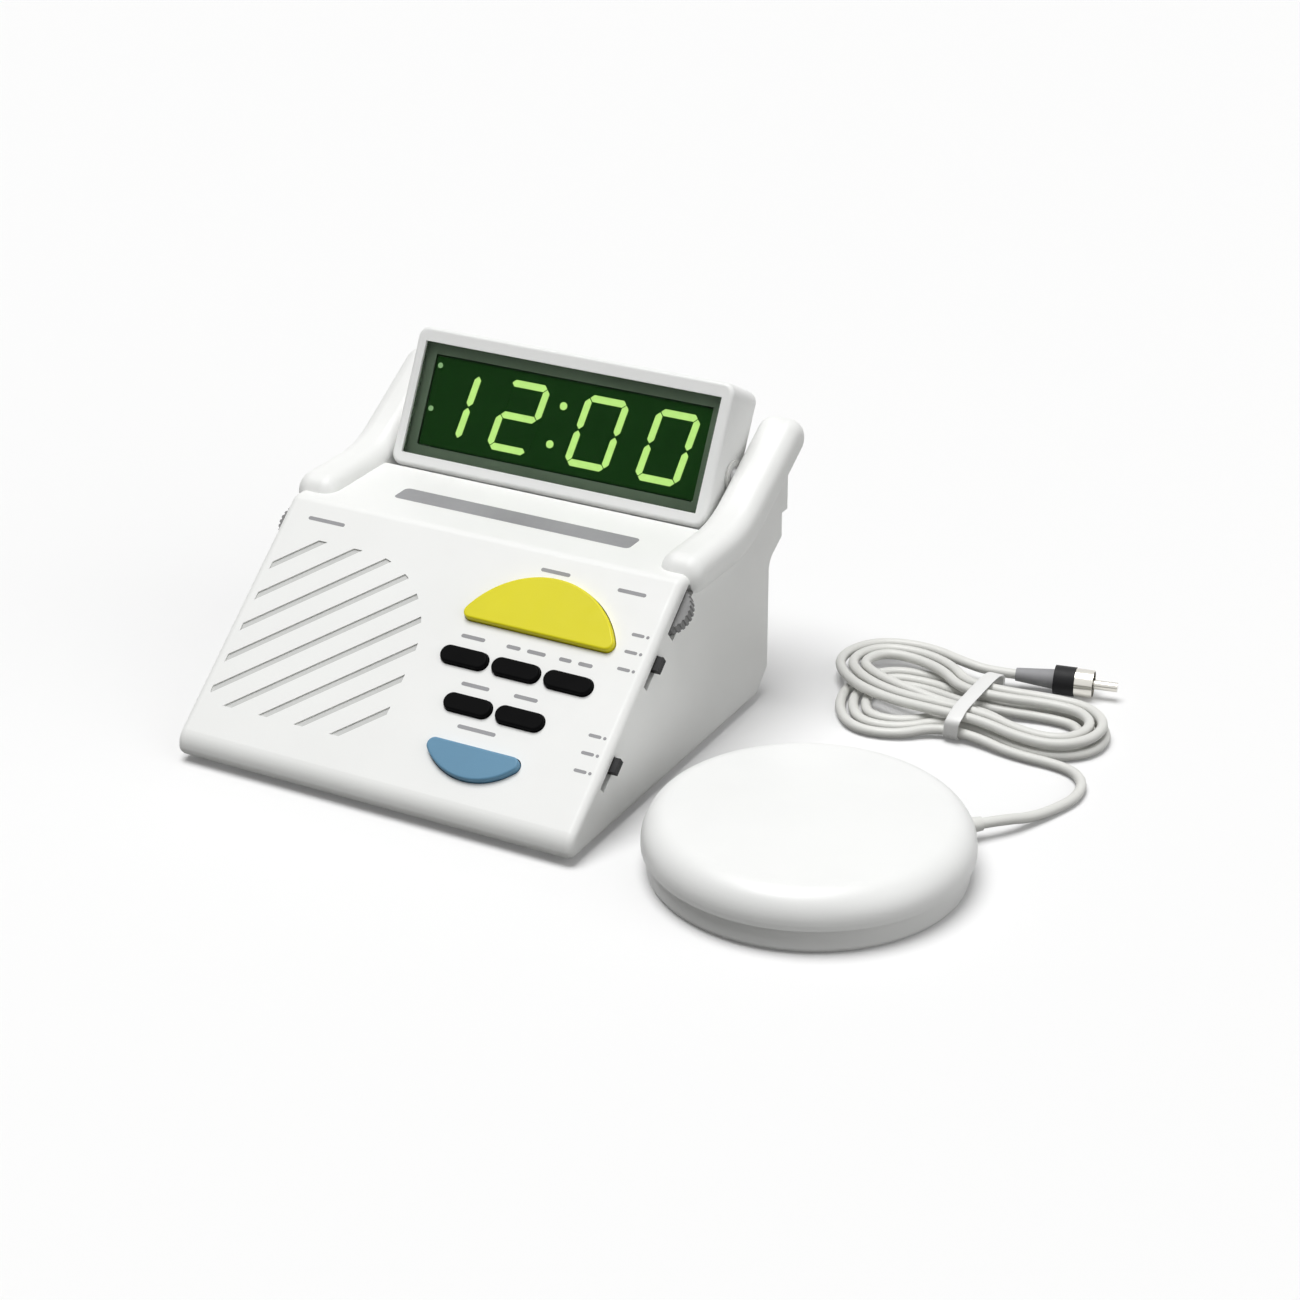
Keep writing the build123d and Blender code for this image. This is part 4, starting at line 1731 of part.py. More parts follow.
# Routes of the loose parts of the cord
exit_tip = shaker_middle + exit_direction * RELIEF_TIP
bow_start = exit_tip + exit_direction * LEAD_STRAIGHT
bow_end = hank_start - hank_stops[0][1] * LEAD_END_STRAIGHT
bow_span = Vector(bow_end.X - bow_start.X, bow_end.Y - bow_start.Y)
bow_side = Vector(bow_span.Y, -bow_span.X).normalized()
bow_points = [
    Vector(bow_start.X, bow_start.Y, height) + bow_span * share + bow_side * aside
    for share, aside, height in LEAD_BOW
]
LEAD_ROUTE = (exit_tip, bow_start, *bow_points, bow_end, hank_start)
tail_points = [Vector(hank_end.X + over, hank_end.Y + away, PLUG_Z) for over, away in TAIL_STEPS]
TAIL_ROUTE = (hank_end, hank_end + hank_stops[-1][1] * TAIL_STRAIGHT, *tail_points)


def bend_radii(route):
    """Radius at each inner point: a share of the shorter run over the tangent of half the turn."""
    radii = []
    for before, here, after in zip(route, route[1:], route[2:]):
        shorter = min((here - before).length, (after - here).length)
        turn = radians((here - before).get_angle(after - here))
        radii.append(BEND_SHARE * shorter / tan(turn / 2))
    return radii


for cord_name, route in (("cord_lead", LEAD_ROUTE), ("cord_tail", TAIL_ROUTE)):
    radii = bend_radii(route)
    with BuildPart() as cord:
        with BuildLine() as cord_line:
            FilletPolyline(*route, radius=radii)
        with BuildSketch(Plane(origin=route[0], z_dir=route[1] - route[0])):
            Circle(CORD_RADIUS)
        sweep(path=cord_line.wire())
    cord.part.label = cord_name
    export_step(cord.part, f"parts/{cord_name}.step")
    print(f"{cord_name}: bend radii", ", ".join(f"{radius:.1f}" for radius in radii))
    report_tube(cord_name, cord.part, cord_line.wire().length)

plug_direction = (TAIL_ROUTE[-1] - TAIL_ROUTE[-2]).normalized()


def along_plug(reach):
    """Plane facing along the plug, at a distance from where its cord ends."""
    return Plane(origin=TAIL_ROUTE[-1] + plug_direction * reach, x_dir=(0, 0, 1), z_dir=plug_direction)


PLUG_BODY_END = PLUG_RELIEF_LENGTH + PLUG_BODY_LENGTH

# Tapered sleeve of the plug
with BuildPart() as plug_relief:
    with BuildSketch(along_plug(0)):
        Circle(RELIEF_TIP_RADIUS)
    with BuildSketch(along_plug(PLUG_RELIEF_LENGTH)):
        Circle(PLUG_RELIEF_RADIUS)
    loft()
plug_relief.part.label = "plug_relief"
export_step(plug_relief.part, "parts/plug_relief.step")

# Black body of the plug
with BuildPart() as plug_body:
    with BuildSketch(along_plug(PLUG_RELIEF_LENGTH)):
        Circle(PLUG_BODY_RADIUS)
    extrude(amount=PLUG_BODY_LENGTH)
plug_body.part.label = "plug_body"
export_step(plug_body.part, "parts/plug_body.step")

# Outer ring and centre pin of the plug
with BuildPart() as plug_contacts:
    with BuildSketch(along_plug(PLUG_BODY_END)):
        Circle(PLUG_RING_RADIUS)
        Circle(PLUG_RING_BORE, mode=Mode.SUBTRACT)
    extrude(amount=PLUG_RING_LENGTH)
    with BuildSketch(along_plug(PLUG_BODY_END)):
        Circle(PLUG_PIN_RADIUS)
    extrude(amount=PLUG_PIN_LENGTH)
plug_contacts.part.label = "plug_contacts"
export_step(plug_contacts.part, "parts/plug_contacts.step")
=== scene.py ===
import math

import bpy
import bmesh
from mathutils import Matrix, Vector


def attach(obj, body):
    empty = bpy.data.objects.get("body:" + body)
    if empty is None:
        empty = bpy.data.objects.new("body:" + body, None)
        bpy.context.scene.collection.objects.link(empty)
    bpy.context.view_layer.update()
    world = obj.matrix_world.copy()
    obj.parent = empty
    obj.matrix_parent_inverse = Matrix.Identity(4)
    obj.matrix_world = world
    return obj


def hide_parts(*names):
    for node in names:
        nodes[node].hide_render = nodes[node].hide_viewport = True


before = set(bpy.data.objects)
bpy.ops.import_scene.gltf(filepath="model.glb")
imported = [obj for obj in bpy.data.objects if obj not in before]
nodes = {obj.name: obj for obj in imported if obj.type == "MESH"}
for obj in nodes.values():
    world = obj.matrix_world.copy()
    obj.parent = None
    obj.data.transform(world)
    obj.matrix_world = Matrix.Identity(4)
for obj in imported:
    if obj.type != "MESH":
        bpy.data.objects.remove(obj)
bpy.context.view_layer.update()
MM = 0.001


# Materials

# Scale, detail and roughness of each noise
DRIFT = (28.0, 4.0, 0.5)
WEAR = (190.0, 5.0, 0.6)
SCRATCHES = (900.0, 6.0, 0.7)
UNEVEN_GLOW = (420.0, 2.0, 0.5)
RIPPLE = (60.0, 2.0, 0.5)
# Detail and roughness of the grain, whose scale is given by material
GRAIN = (2.0, 0.5)
# Levels of a noise at the two ends of a ramp
NOISE_LOW, NOISE_HIGH = 0.3, 0.7
# Shares of the roughness where a surface is smoothest and where it is roughest
PLASTIC_GLOSS = (0.85, 1.18)
METAL_GLOSS = (0.7, 1.4)
GLOW_DIP = 0.88
# Depths in metres
SCRATCH_DEPTH = 0.000008
RIPPLE_DEPTH = 0.000004
FINE_GRAIN = 0.000004
COARSE_GRAIN = 0.00004


def material(name, color, roughness, **sockets):
    """Principled material with its plain values, for the detail that follows."""
    made = bpy.data.materials.new(name)
    made.use_nodes = True
    shader = made.node_tree.nodes["Principled BSDF"]
    shader.inputs["Base Color"].default_value = (*color, 1)
    shader.inputs["Roughness"].default_value = roughness
    for socket, value in sockets.items():
        shader.inputs[socket.replace("_", " ")].default_value = value
    return made


def noise(made, scale, detail, roughness):
    tree = made.node_tree
    place = tree.nodes.get("Place") or tree.nodes.new("ShaderNodeTexCoord")
    place.name = "Place"
    texture = tree.nodes.new("ShaderNodeTexNoise")
    texture.inputs["Scale"].default_value = scale
    texture.inputs["Detail"].default_value = detail
    texture.inputs["Roughness"].default_value = roughness
    tree.links.new(place.outputs["Object"], texture.inputs["Vector"])
    return texture.outputs["Fac"]


def ramp(made, value, first, last):
    """Colours or greys over the levels of a noise."""
    node = made.node_tree.nodes.new("ShaderNodeValToRGB")
    node.color_ramp.elements[0].position = NOISE_LOW
    node.color_ramp.elements[1].position = NOISE_HIGH
    node.color_ramp.elements[0].color = (*first, 1)
    node.color_ramp.elements[1].color = (*last, 1)
    made.node_tree.links.new(value, node.inputs["Fac"])
    return node.outputs["Color"]


def into(made, output, socket):
    made.node_tree.links.new(output, made.node_tree.nodes["Principled BSDF"].inputs[socket])


def bump(made, value, distance):
    node = made.node_tree.nodes.new("ShaderNodeBump")
    node.inputs["Distance"].default_value = distance
    node.inputs["Strength"].default_value = 1.0
    made.node_tree.links.new(value, node.inputs["Height"])
    into(made, node.outputs["Normal"], "Normal")


def shade(color, factor):
    return tuple(min(1.0, channel * factor) for channel in color)


def uneven_gloss(made, value, roughness, shares):
    smoothest, roughest = (shade((roughness,) * 3, share) for share in shares)
    into(made, ramp(made, value, smoothest, roughest), "Roughness")


def moulded(name, color, roughness, blotch, grain=0.00002, grain_scale=2600, **sockets):
    """Moulded plastic: a slow drift of colour and gloss, and the fine grain of the mould."""
    made = material(name, color, roughness, **sockets)
    darkest, lightest = shade(color, 1 - blotch), shade(color, 1 + blotch / 3)
    into(made, ramp(made, noise(made, *DRIFT), darkest, lightest), "Base Color")
    uneven_gloss(made, noise(made, *WEAR), roughness, PLASTIC_GLOSS)
    bump(made, noise(made, grain_scale, *GRAIN), grain)
    return made


def metal(name, color, roughness):
    made = material(name, color, roughness, Metallic=1.0)
    scratched = noise(made, *SCRATCHES)
    uneven_gloss(made, scratched, roughness, METAL_GLOSS)
    bump(made, scratched, SCRATCH_DEPTH)
    return made


def board(name):
    """Printed circuit board: lacquer over copper tracks."""
    made = material(name, (0.02, 0.16, 0.06), 0.35)
    tree = made.node_tree
    place = tree.nodes.new("ShaderNodeTexCoord")
    tracks = tree.nodes.new("ShaderNodeTexBrick")
    tracks.inputs["Scale"].default_value = 140.0
    tracks.inputs["Mortar Size"].default_value = 0.03
    tracks.inputs["Color1"].default_value = (0.015, 0.13, 0.05, 1)
    tracks.inputs["Color2"].default_value = (0.02, 0.17, 0.07, 1)
    tracks.inputs["Mortar"].default_value = (0.06, 0.27, 0.12, 1)
    tree.links.new(place.outputs["Object"], tracks.inputs["Vector"])
    into(made, tracks.outputs["Color"], "Base Color")
    return made


def glowing(name, color, strength):
    """Glowing piece, a little uneven over its face: lit digits, and painted glow on parts that are
    no lamp.
    """
    made = material(name, color, 0.5, Emission_Strength=strength)
    uneven = noise(made, *UNEVEN_GLOW)
    into(made, ramp(made, uneven, shade(color, GLOW_DIP), color), "Emission Color")
    return made


BLACK = (0.012, 0.012, 0.013)
DEEP_BLACK = (0.002, 0.002, 0.0022)
YELLOW = (0.76, 0.69, 0.01)
BLUE = (0.125, 0.275, 0.41)
MID_GREY = (0.3, 0.3, 0.31)
PALE_GREY = (0.6, 0.605, 0.59)
PAPER = (0.05, 0.05, 0.05)
white_case = moulded("white_case", (0.86, 0.865, 0.85), 0.42, blotch=0.02, grain=0.000016)
white_puck = moulded("white_puck", (0.87, 0.875, 0.865), 0.34, blotch=0.02, grain=0.000012)
white_head = moulded("white_head", (0.865, 0.87, 0.86), 0.38, blotch=0.02, grain=0.000014)
black_keys = moulded("black_keys", DEEP_BLACK, 0.45, blotch=0.2, Specular_IOR_Level=0.03)
black_plain = moulded("black_plain", BLACK, 0.5, blotch=0.2, Specular_IOR_Level=0.2)
yellow_key = moulded("yellow_key", YELLOW, 0.4, blotch=0.06, Specular_IOR_Level=0.25)
blue_key = moulded("blue_key", BLUE, 0.4, blotch=0.08, Specular_IOR_Level=0.25)
rubber = moulded("black_rubber", (0.03, 0.03, 0.03), 0.8, blotch=0.2, grain=COARSE_GRAIN)
grey_relief = moulded("grey_relief", MID_GREY, 0.6, blotch=0.1)
knob_black = moulded("knob_black", BLACK, 0.5, blotch=0.2, Specular_IOR_Level=0.25)
wheel_grey = moulded("wheel_grey", (0.2, 0.2, 0.2), 0.5, blotch=0.1)
# Pale grey of the insert and of the ribs in the speaker slots: the ribs carry painted shade of the
# slots
insert_and_slot_shade_grey = moulded("insert_and_slot_shade_grey", PALE_GREY, 0.7, 0.06, COARSE_GRAIN, grain_scale=1500)
# Grey border round the window: painted reflection of the bezel
bezel_reflection_grey = moulded("bezel_reflection_grey", (0.33, 0.35, 0.33), 0.6, blotch=0.15)
steel = metal("steel", (0.6, 0.6, 0.61), 0.32)
dark_steel = metal("dark_steel", (0.4, 0.4, 0.42), 0.4)
nickel = metal("nickel", (0.72, 0.7, 0.65), 0.2)
brass = metal("brass", (0.75, 0.55, 0.25), 0.3)
iron = moulded("magnet_iron", (0.06, 0.06, 0.065), 0.6, blotch=0.2)
green_board = board("green_board")
cone_paper = moulded("cone_paper", PAPER, 0.85, blotch=0.2, grain=0.00006, grain_scale=1200)
battery_skin = moulded("battery_skin", (0.05, 0.055, 0.065), 0.4, blotch=0.15)
fibre = moulded("washer_fibre", (0.7, 0.7, 0.68), 0.7, blotch=0.06, grain=COARSE_GRAIN)
cord_white = moulded("cord_white", (0.72, 0.72, 0.69), 0.42, blotch=0.05, grain=0.00001)
tie_white = moulded("tie_white", (0.82, 0.82, 0.81), 0.5, blotch=0.05)
print_grey = moulded("print_grey", MID_GREY, 0.55, blotch=0.15, grain=FINE_GRAIN)
window = material("window", (0.2, 0.27, 0.19), 0.05, Transmission_Weight=1.0, IOR=1.12)
bump(window, noise(window, *RIPPLE), RIPPLE_DEPTH)
lit = glowing("lit", (0.83, 0.99, 0.39), 3.0)
lit_dim = glowing("lit_dim", (0.72, 0.9, 0.6), 1.5)
# The LED module and the unlit segments glow dark green though they are no lamp: painted glow
module_painted_glow = glowing("module_painted_glow", (0.012, 0.075, 0.01), 1.0)

FINISH = {
    white_case: "upper_housing base_tray battery_door battery_box",
    white_head: "head_bezel head_rear_shell",
    white_puck: "shaker_lid shaker_base",
    rubber: "rubber_feet speaker_gasket",
    steel: (
        "case_screws board_screws panel_screws head_screws shaker_screws "
        "motor_shaft tilt_pins motor_strap"
    ),
    green_board: "main_board keypad_board wheel_boards display_board",
    black_keys: "top_left_key top_middle_key top_right_key low_left_key low_right_key",
    yellow_key: "snooze_button",
    blue_key: "test_button",
    knob_black: "upper_slide_knob lower_slide_knob",
    wheel_grey: "left_thumb_wheel right_thumb_wheel",
    black_plain: (
        "board_components wheel_pots tact_switches slide_switches "
        "shaker_jack power_jack battery_clip plug_body"
    ),
    dark_steel: "speaker_frame shaker_motor",
    cone_paper: "speaker_cone",
    iron: "speaker_magnet",
    battery_skin: "battery",
    window: "display_lens",
    lit: "lit_segments",
    module_painted_glow: "led_module dark_segments",
    fibre: "friction_washers",
    brass: "eccentric_weight",
    cord_white: "cord_hank cord_lead cord_tail cord_relief",
    tie_white: "hank_tie",
    grey_relief: "plug_relief",
    nickel: "plug_contacts",
}
for finish, names in FINISH.items():
    for name in names.split():
        nodes[name].data.materials.clear()
        nodes[name].data.materials.append(finish)

# The two dots at the left of the window are fainter than the digits
DOTS_LEFT_OF = -48
segments = nodes["lit_segments"].data
segments.materials.append(lit_dim)
for face in segments.polygons:
    if face.center.x < DOTS_LEFT_OF * MM:
        face.material_index = 1


# Camera, fitted to the photograph

AZIMUTH, ELEVATION, DISTANCE = 0.494066, 0.455588, 1.0
SENSOR_WIDTH, FOCAL_LENGTH = 36.0, 80.40
NEAREST_SEEN = 0.01
target = Vector((0.022495, 0.078791, 0.0))
back = Vector(
    (
        math.sin(AZIMUTH) * math.cos(ELEVATION),
        -math.cos(AZIMUTH) * math.cos(ELEVATION),
        math.sin(ELEVATION),
    )
)
lens = bpy.data.cameras.new("camera")
lens.sensor_width = SENSOR_WIDTH
lens.lens = FOCAL_LENGTH
lens.clip_start = NEAREST_SEEN
camera = bpy.data.objects.new("camera", lens)
camera.location = target + back * DISTANCE
camera.rotation_mode = "QUATERNION"
camera.rotation_quaternion = (-back).to_track_quat("-Z", "Y")
bpy.context.scene.collection.objects.link(camera)
bpy.context.scene.camera = camera


# Cord: lead from the puck, the hank and its end at the plug, on one spline. From here to the
# floor, sizes are in millimetres.

CORD_RADIUS = 1.7
ON_TABLE = 1.75
PLUG_Z = 4.95
PUCK_MIDDLE = Vector((134.3, -29.4, 5.2))
EXIT_ANGLE = math.radians(47)
EXIT_REACH = 56.4
# Straight runs out of the puck, into the hank, at both ends of the hank and out of it
EXIT_RUN = 8
HANK_RUN = 9
END_RUN = 3.4
TAIL_RUN = 7
# Corners of the lead: share of the way to the hank, distance aside and height
BOW = (
    (0.198, 4.26, 2.6),
    (0.440, 8.21, ON_TABLE),
    (0.646, 10.47, ON_TABLE),
    (0.868, 8.07, ON_TABLE),
)
# Corners of the tail, counted from the end of the hank
TAIL = ((14.1, -1.3), (22.1, 0.3))

# Hank: three turns in each of two layers. Pairs are for the lower and the upper layer, and
# steps are how far each turn lies inside the one before.
HANK_MIDDLE = Vector((140.5, 84.0, 0))
TURNS = 3
PLACES = 8
RIGHT_HALF, RIGHT_SHOULDER, RIGHT_END = 20.0, 28.0, 48.0
WAIST_HALF = 17.0
LEFT_HALVES, LEFT_SHOULDERS, LEFT_ENDS = (24.5, 22.5), (27.0, 30.0), (46.0, 57.0)
LEFT_TWISTS = (8.0, -19.0)
END_STEP, WAIST_STEP, LEFT_STEP = 4.2, 4.8, 5.0
WAIST_Z = 2.8
LAYER_CLIMB = 4.2
CLIMB_TURN = 0.25
STRAIGHT = 1e-6
LEFT, RIGHT = Vector((-1, 0, 0)), Vector((1, 0, 0))
AWAY, TOWARDS = Vector((0, 1, 0)), Vector((0, -1, 0))


def hank_stop(progress, place):
    """Point and direction of the cord at one of the eight places round a loop."""
    layer = int(progress >= TURNS)
    turns_in = min(progress, 2 * TURNS - progress)
    step = END_STEP * turns_in
    right = RIGHT_HALF - step
    waist = WAIST_HALF - WAIST_STEP * turns_in
    left = LEFT_HALVES[layer] - LEFT_STEP * turns_in
    shoulder = LEFT_SHOULDERS[layer]
    climbed = LAYER_CLIMB * min(max((progress - TURNS) / CLIMB_TURN, 0), 1)
    low = ON_TABLE + climbed
    high = WAIST_Z + climbed
    loop = (
        ((RIGHT_SHOULDER, -right, low), LEFT),
        ((0, -waist, high), LEFT),
        ((-shoulder, -left, low), LEFT),
        ((step - LEFT_ENDS[layer], 0, low), AWAY),
        ((-shoulder, left, low), RIGHT),
        ((0, waist, high), RIGHT),
        ((RIGHT_SHOULDER, right, low), RIGHT),
        ((RIGHT_END - step, 0, low), TOWARDS),
    )
    point, way = Vector(loop[place][0]), loop[place][1]
    if point.x < 0:
        twist = Matrix.Rotation(math.radians(LEFT_TWISTS[layer]), 3, "Z")
        point, way = twist @ point, twist @ way
    return HANK_MIDDLE + point, way


def corners(first, first_way, last, last_way):
    """Where the runs that leave one stop and reach the next one turn."""
    span, both = last - first, first_way + last_way
    bend = 2 * (1 - first_way.dot(last_way))
    along = span.dot(both)
    if bend < STRAIGHT:
        reach = span.dot(span) / (2 * along)
    else:
        reach = (math.sqrt(along**2 + bend * span.dot(span)) - along) / bend
    return first + first_way * reach, last - last_way * reach


exit_way = Vector((math.cos(EXIT_ANGLE), math.sin(EXIT_ANGLE), 0))
exit_tip = PUCK_MIDDLE + exit_way * EXIT_REACH
stop_count = 2 * TURNS * PLACES - PLACES // 2 + 1
stops = [hank_stop(n / PLACES, n % PLACES) for n in range(stop_count)]
start_way, end_way = stops[0][1], stops[-1][1]
hank_start = stops[0][0] - start_way * END_RUN
hank_end = stops[-1][0] + end_way * END_RUN
bow_start = exit_tip + exit_way * EXIT_RUN
bow_end = hank_start - start_way * HANK_RUN
bow_span = Vector((bow_end.x - bow_start.x, bow_end.y - bow_start.y, 0))
bow_side = Vector((bow_span.y, -bow_span.x, 0)).normalized()
route = [exit_tip, bow_start]
for share, aside, height in BOW:
    foot = Vector((bow_start.x, bow_start.y, height))
    route.append(foot + bow_span * share + bow_side * aside)
route.append(bow_end)
for (first, first_way), (last, last_way) in zip(stops, stops[1:]):
    route += corners(first, first_way, last, last_way)
route.append(hank_end + end_way * TAIL_RUN)
for x, y in TAIL:
    route.append(Vector((hank_end.x + x, hank_end.y + y, PLUG_Z)))

line = bpy.data.curves.new("cord", "CURVE")
line.dimensions = "3D"
line.bevel_depth = CORD_RADIUS * MM
line.bevel_resolution = 5
line.resolution_u = 10
spline = line.splines.new("NURBS")
spline.points.add(len(route) - 1)
for point, place in zip(spline.points, route):
    point.co = (*(place * MM), 1)
spline.order_u = 3
spline.use_endpoint_u = True
cord = bpy.data.objects.new("cord", line)
bpy.context.scene.collection.objects.link(cord)
line.materials.append(cord_white)
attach(cord, "shaker")
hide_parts("cord_lead", "cord_hank", "cord_tail")


def new_object(name, made, finish):
    """Object in the scene from a bmesh."""
    data = bpy.data.meshes.new(name)
    made.to_mesh(data)
    made.free()
    piece = bpy.data.objects.new(name, data)
    bpy.context.scene.collection.objects.link(piece)
    data.materials.append(finish)
    return piece


def mesh_piece(name, made, body, finish):
    """New piece from a bmesh with its faces turned outwards, riding on a body."""
    bmesh.ops.recalc_face_normals(made, faces=made.faces)
    piece = new_object(name, made, finish)
    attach(piece, body)
    return piece


# Tie round the waist: a soft band with thinner edges

TIE_STEPS = 72
TIE_WIDTH = 5.0
TIE_HALF_LENGTH = 19.35
TIE_LOW, TIE_HIGH = 0.42, 9.35
# Powers under 1 make the band squarer than an ellipse
TIE_POWER_Y, TIE_POWER_Z = 0.34, 0.42
TIE_SWAY, TIE_SWAYS, TIE_SWAY_START = 0.35, 3, 0.6
TIE_SMOOTH_BELOW = math.radians(40)
# Share of half the width, and distance out from the middle of the band
TIE_PROFILE = ((-1, 0.22), (-0.86, 0.4), (0.86, 0.4), (1, 0.22), (0.86, -0.4), (-0.86, -0.4))


def squarer(value, power):
    return math.copysign(abs(value) ** power, value)


tie_middle_z, tie_half_height = (TIE_LOW + TIE_HIGH) / 2, (TIE_HIGH - TIE_LOW) / 2
made = bmesh.new()
rings = []
for step in range(TIE_STEPS):
    angle = 2 * math.pi * step / TIE_STEPS
    c, s = math.cos(angle), math.sin(angle)
    y = HANK_MIDDLE.y + TIE_HALF_LENGTH * squarer(c, TIE_POWER_Y)
    z = tie_middle_z + tie_half_height * squarer(s, TIE_POWER_Z)
    sway = TIE_SWAY * math.sin(TIE_SWAYS * angle + TIE_SWAY_START)
    ring = []
    for across, out in TIE_PROFILE:
        x = HANK_MIDDLE.x + TIE_WIDTH / 2 * across + sway
        ring.append(made.verts.new((Vector((x, y, z)) + Vector((0, c, s)) * out) * MM))
    rings.append(ring)
for first, last in zip(rings, rings[1:] + rings[:1]):
    for a in range(len(TIE_PROFILE)):
        b = (a + 1) % len(TIE_PROFILE)
        made.faces.new((first[a], last[a], last[b], first[b]))
tie = mesh_piece("waist_tie", made, "shaker", tie_white)
for face in tie.data.polygons:
    face.use_smooth = True
tie.data.set_sharp_from_angle(angle=TIE_SMOOTH_BELOW)
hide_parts("hank_tie")


# Panel and deck, for what is printed on them. A drop is a distance down the panel from its crease.

CREASE_Y = 7.4
DECK_Z = 66.0
TOE_Z = 8.6
SLOPE = math.radians(39.0)
PANEL_LENGTH = (DECK_Z - TOE_Z) / math.sin(SLOPE)
PANEL_ORIGIN = Vector((0, CREASE_Y, DECK_Z))
PANEL_OUT = Vector((0, -math.sin(SLOPE), math.cos(SLOPE)))
PANEL_DOWN = Vector((0, -math.cos(SLOPE), -math.sin(SLOPE)))
CORNER_STEPS = 8


def on_panel(x, drop, lift):
    return PANEL_ORIGIN + Vector((x, 0, 0)) + PANEL_DOWN * drop + PANEL_OUT * lift


def on_deck(x, y, lift):
    return Vector((x, y, DECK_Z + lift))


def raise_outline(made, place, outline, low, high):
    """Top and sides over an outline on a face, between two heights. Gives back its foot."""
    top = [made.verts.new(place(a, b, high) * MM) for a, b in outline]
    foot = [made.verts.new(place(a, b, low) * MM) for a, b in outline]
    made.faces.new(top)
    for n in range(len(outline)):
        m = (n + 1) % len(outline)
        made.faces.new((top[n], foot[n], foot[m], top[m]))
    return foot


def pill(made, place, x, y, width, height, low, high, round_share=1.0):
    """Flat bar with rounded ends, open below."""
    radius = min(width, height) / 2 * round_share
    outline = []
    for corner, (sx, sy) in enumerate(((1, 1), (-1, 1), (-1, -1), (1, -1))):
        for step in range(CORNER_STEPS + 1):
            angle = math.pi / 2 * (corner + step / CORNER_STEPS)
            outline.append(
                (
                    x + sx * (width / 2 - radius) + radius * math.cos(angle),
                    y + sy * (height / 2 - radius) + radius * math.sin(angle),
                )
            )
    raise_outline(made, place, outline, low, high)


def block(made, place, outline, low, high):
    """Closed block."""
    foot = raise_outline(made, place, outline, low, high)
    made.faces.new(foot[::-1])


# Plain printed bars over the keys, and a bar with a dot at each place of the slide switches

PRINT_LOW, PRINT_HIGH = -0.02, 0.03
BAR_HEIGHT = 1.3
# Place across the panel, drop and width
BARS = (
    (-55.7, 7.0, 14.0),
    (57.8, 7.6, 10.0),
    (30.2, 6.6, 10.5),
    (12.7, 34.5, 8.6),
    (27.3, 34.5, 5.0),
    (35.5, 34.5, 6.6),
    (45.8, 34.5, 4.4),
    (52.9, 34.5, 5.0),
    (20.5, 50.0, 10.0),
    (38.5, 49.8, 8.4),
    (27.2, 63.9, 13.6),
)
MARK_DROPS = (21.0, 27.0, 33.0, 56.2, 62.2, 68.2)
MARK_X, DOT_X = 65.6, 69.0
MARK_WIDTH = 4.4
DOT_SIZE = 1.1
made = bmesh.new()
for x, drop, width in BARS:
    pill(made, on_panel, x, drop, width, BAR_HEIGHT, PRINT_LOW, PRINT_HIGH)
for drop in MARK_DROPS:
    for x, width in ((MARK_X, MARK_WIDTH), (DOT_X, DOT_SIZE)):
        pill(made, on_panel, x, drop, width, DOT_SIZE, PRINT_LOW, PRINT_HIGH)
mesh_piece("printed_bars", made, "clock", print_grey)

# Plain inlaid strip on the deck under the display
STRIP_X, STRIP_Y = 2.0, 25.0
STRIP_WIDTH, STRIP_DEPTH = 88.0, 8.6
STRIP_TOP = 0.05
STRIP_ROUND = 0.4
made = bmesh.new()
strip = (STRIP_X, STRIP_Y, STRIP_WIDTH, STRIP_DEPTH)
pill(made, on_deck, *strip, PRINT_LOW, STRIP_TOP, round_share=STRIP_ROUND)
mesh_piece("deck_strip", made, "clock", print_grey)


# Pale insert behind the speaker slots, with a rib in each of them that fills the slot to just under
# the face: the pale grey of the ribs is painted shade of the slots

GRILLE_X, GRILLE_DROP = -36.25, 0.5 * PANEL_LENGTH
GRILLE_HALF = (31.8, 31.5)
SWEEP = 32.0
SLOT_ANGLE = math.radians(40.5)
SLOT_PITCH = 8.8
SLOTS_EACH_SIDE = 4
RIB_HALF_WIDTH = 1.06
RIB_LOW, RIB_HIGH = -2.5, -0.5
INSERT_HALF = (31.6, 31.3)
INSERT_LOW, INSERT_HIGH = -2.58, -2.44
# A line along the slots is tried at this spacing, this many times to each side
TRY_SPACING, TRIES = 0.1, 450


def in_field(x, rise):
    """Whether a place lies in the slotted field, whose upper right corner is swept."""
    if abs(x) > GRILLE_HALF[0] or abs(rise) > GRILLE_HALF[1]:
        return False
    over = (x - GRILLE_HALF[0] + SWEEP, rise - GRILLE_HALF[1] + SWEEP)
    return min(over) < 0 or math.hypot(*over) < SWEEP


slot_way = Vector((math.cos(SLOT_ANGLE), math.sin(SLOT_ANGLE)))
slot_side = Vector((-slot_way.y, slot_way.x))


def ends_in_field(aside):
    """Both ends, in the field, of a line along the slots at a distance from the middle one."""
    middle = slot_side * aside
    tries = range(-TRIES, TRIES + 1)
    inside = [n for n in tries if in_field(*(middle + slot_way * n * TRY_SPACING))]
    return [middle + slot_way * (n * TRY_SPACING) for n in (inside[0], inside[-1])]


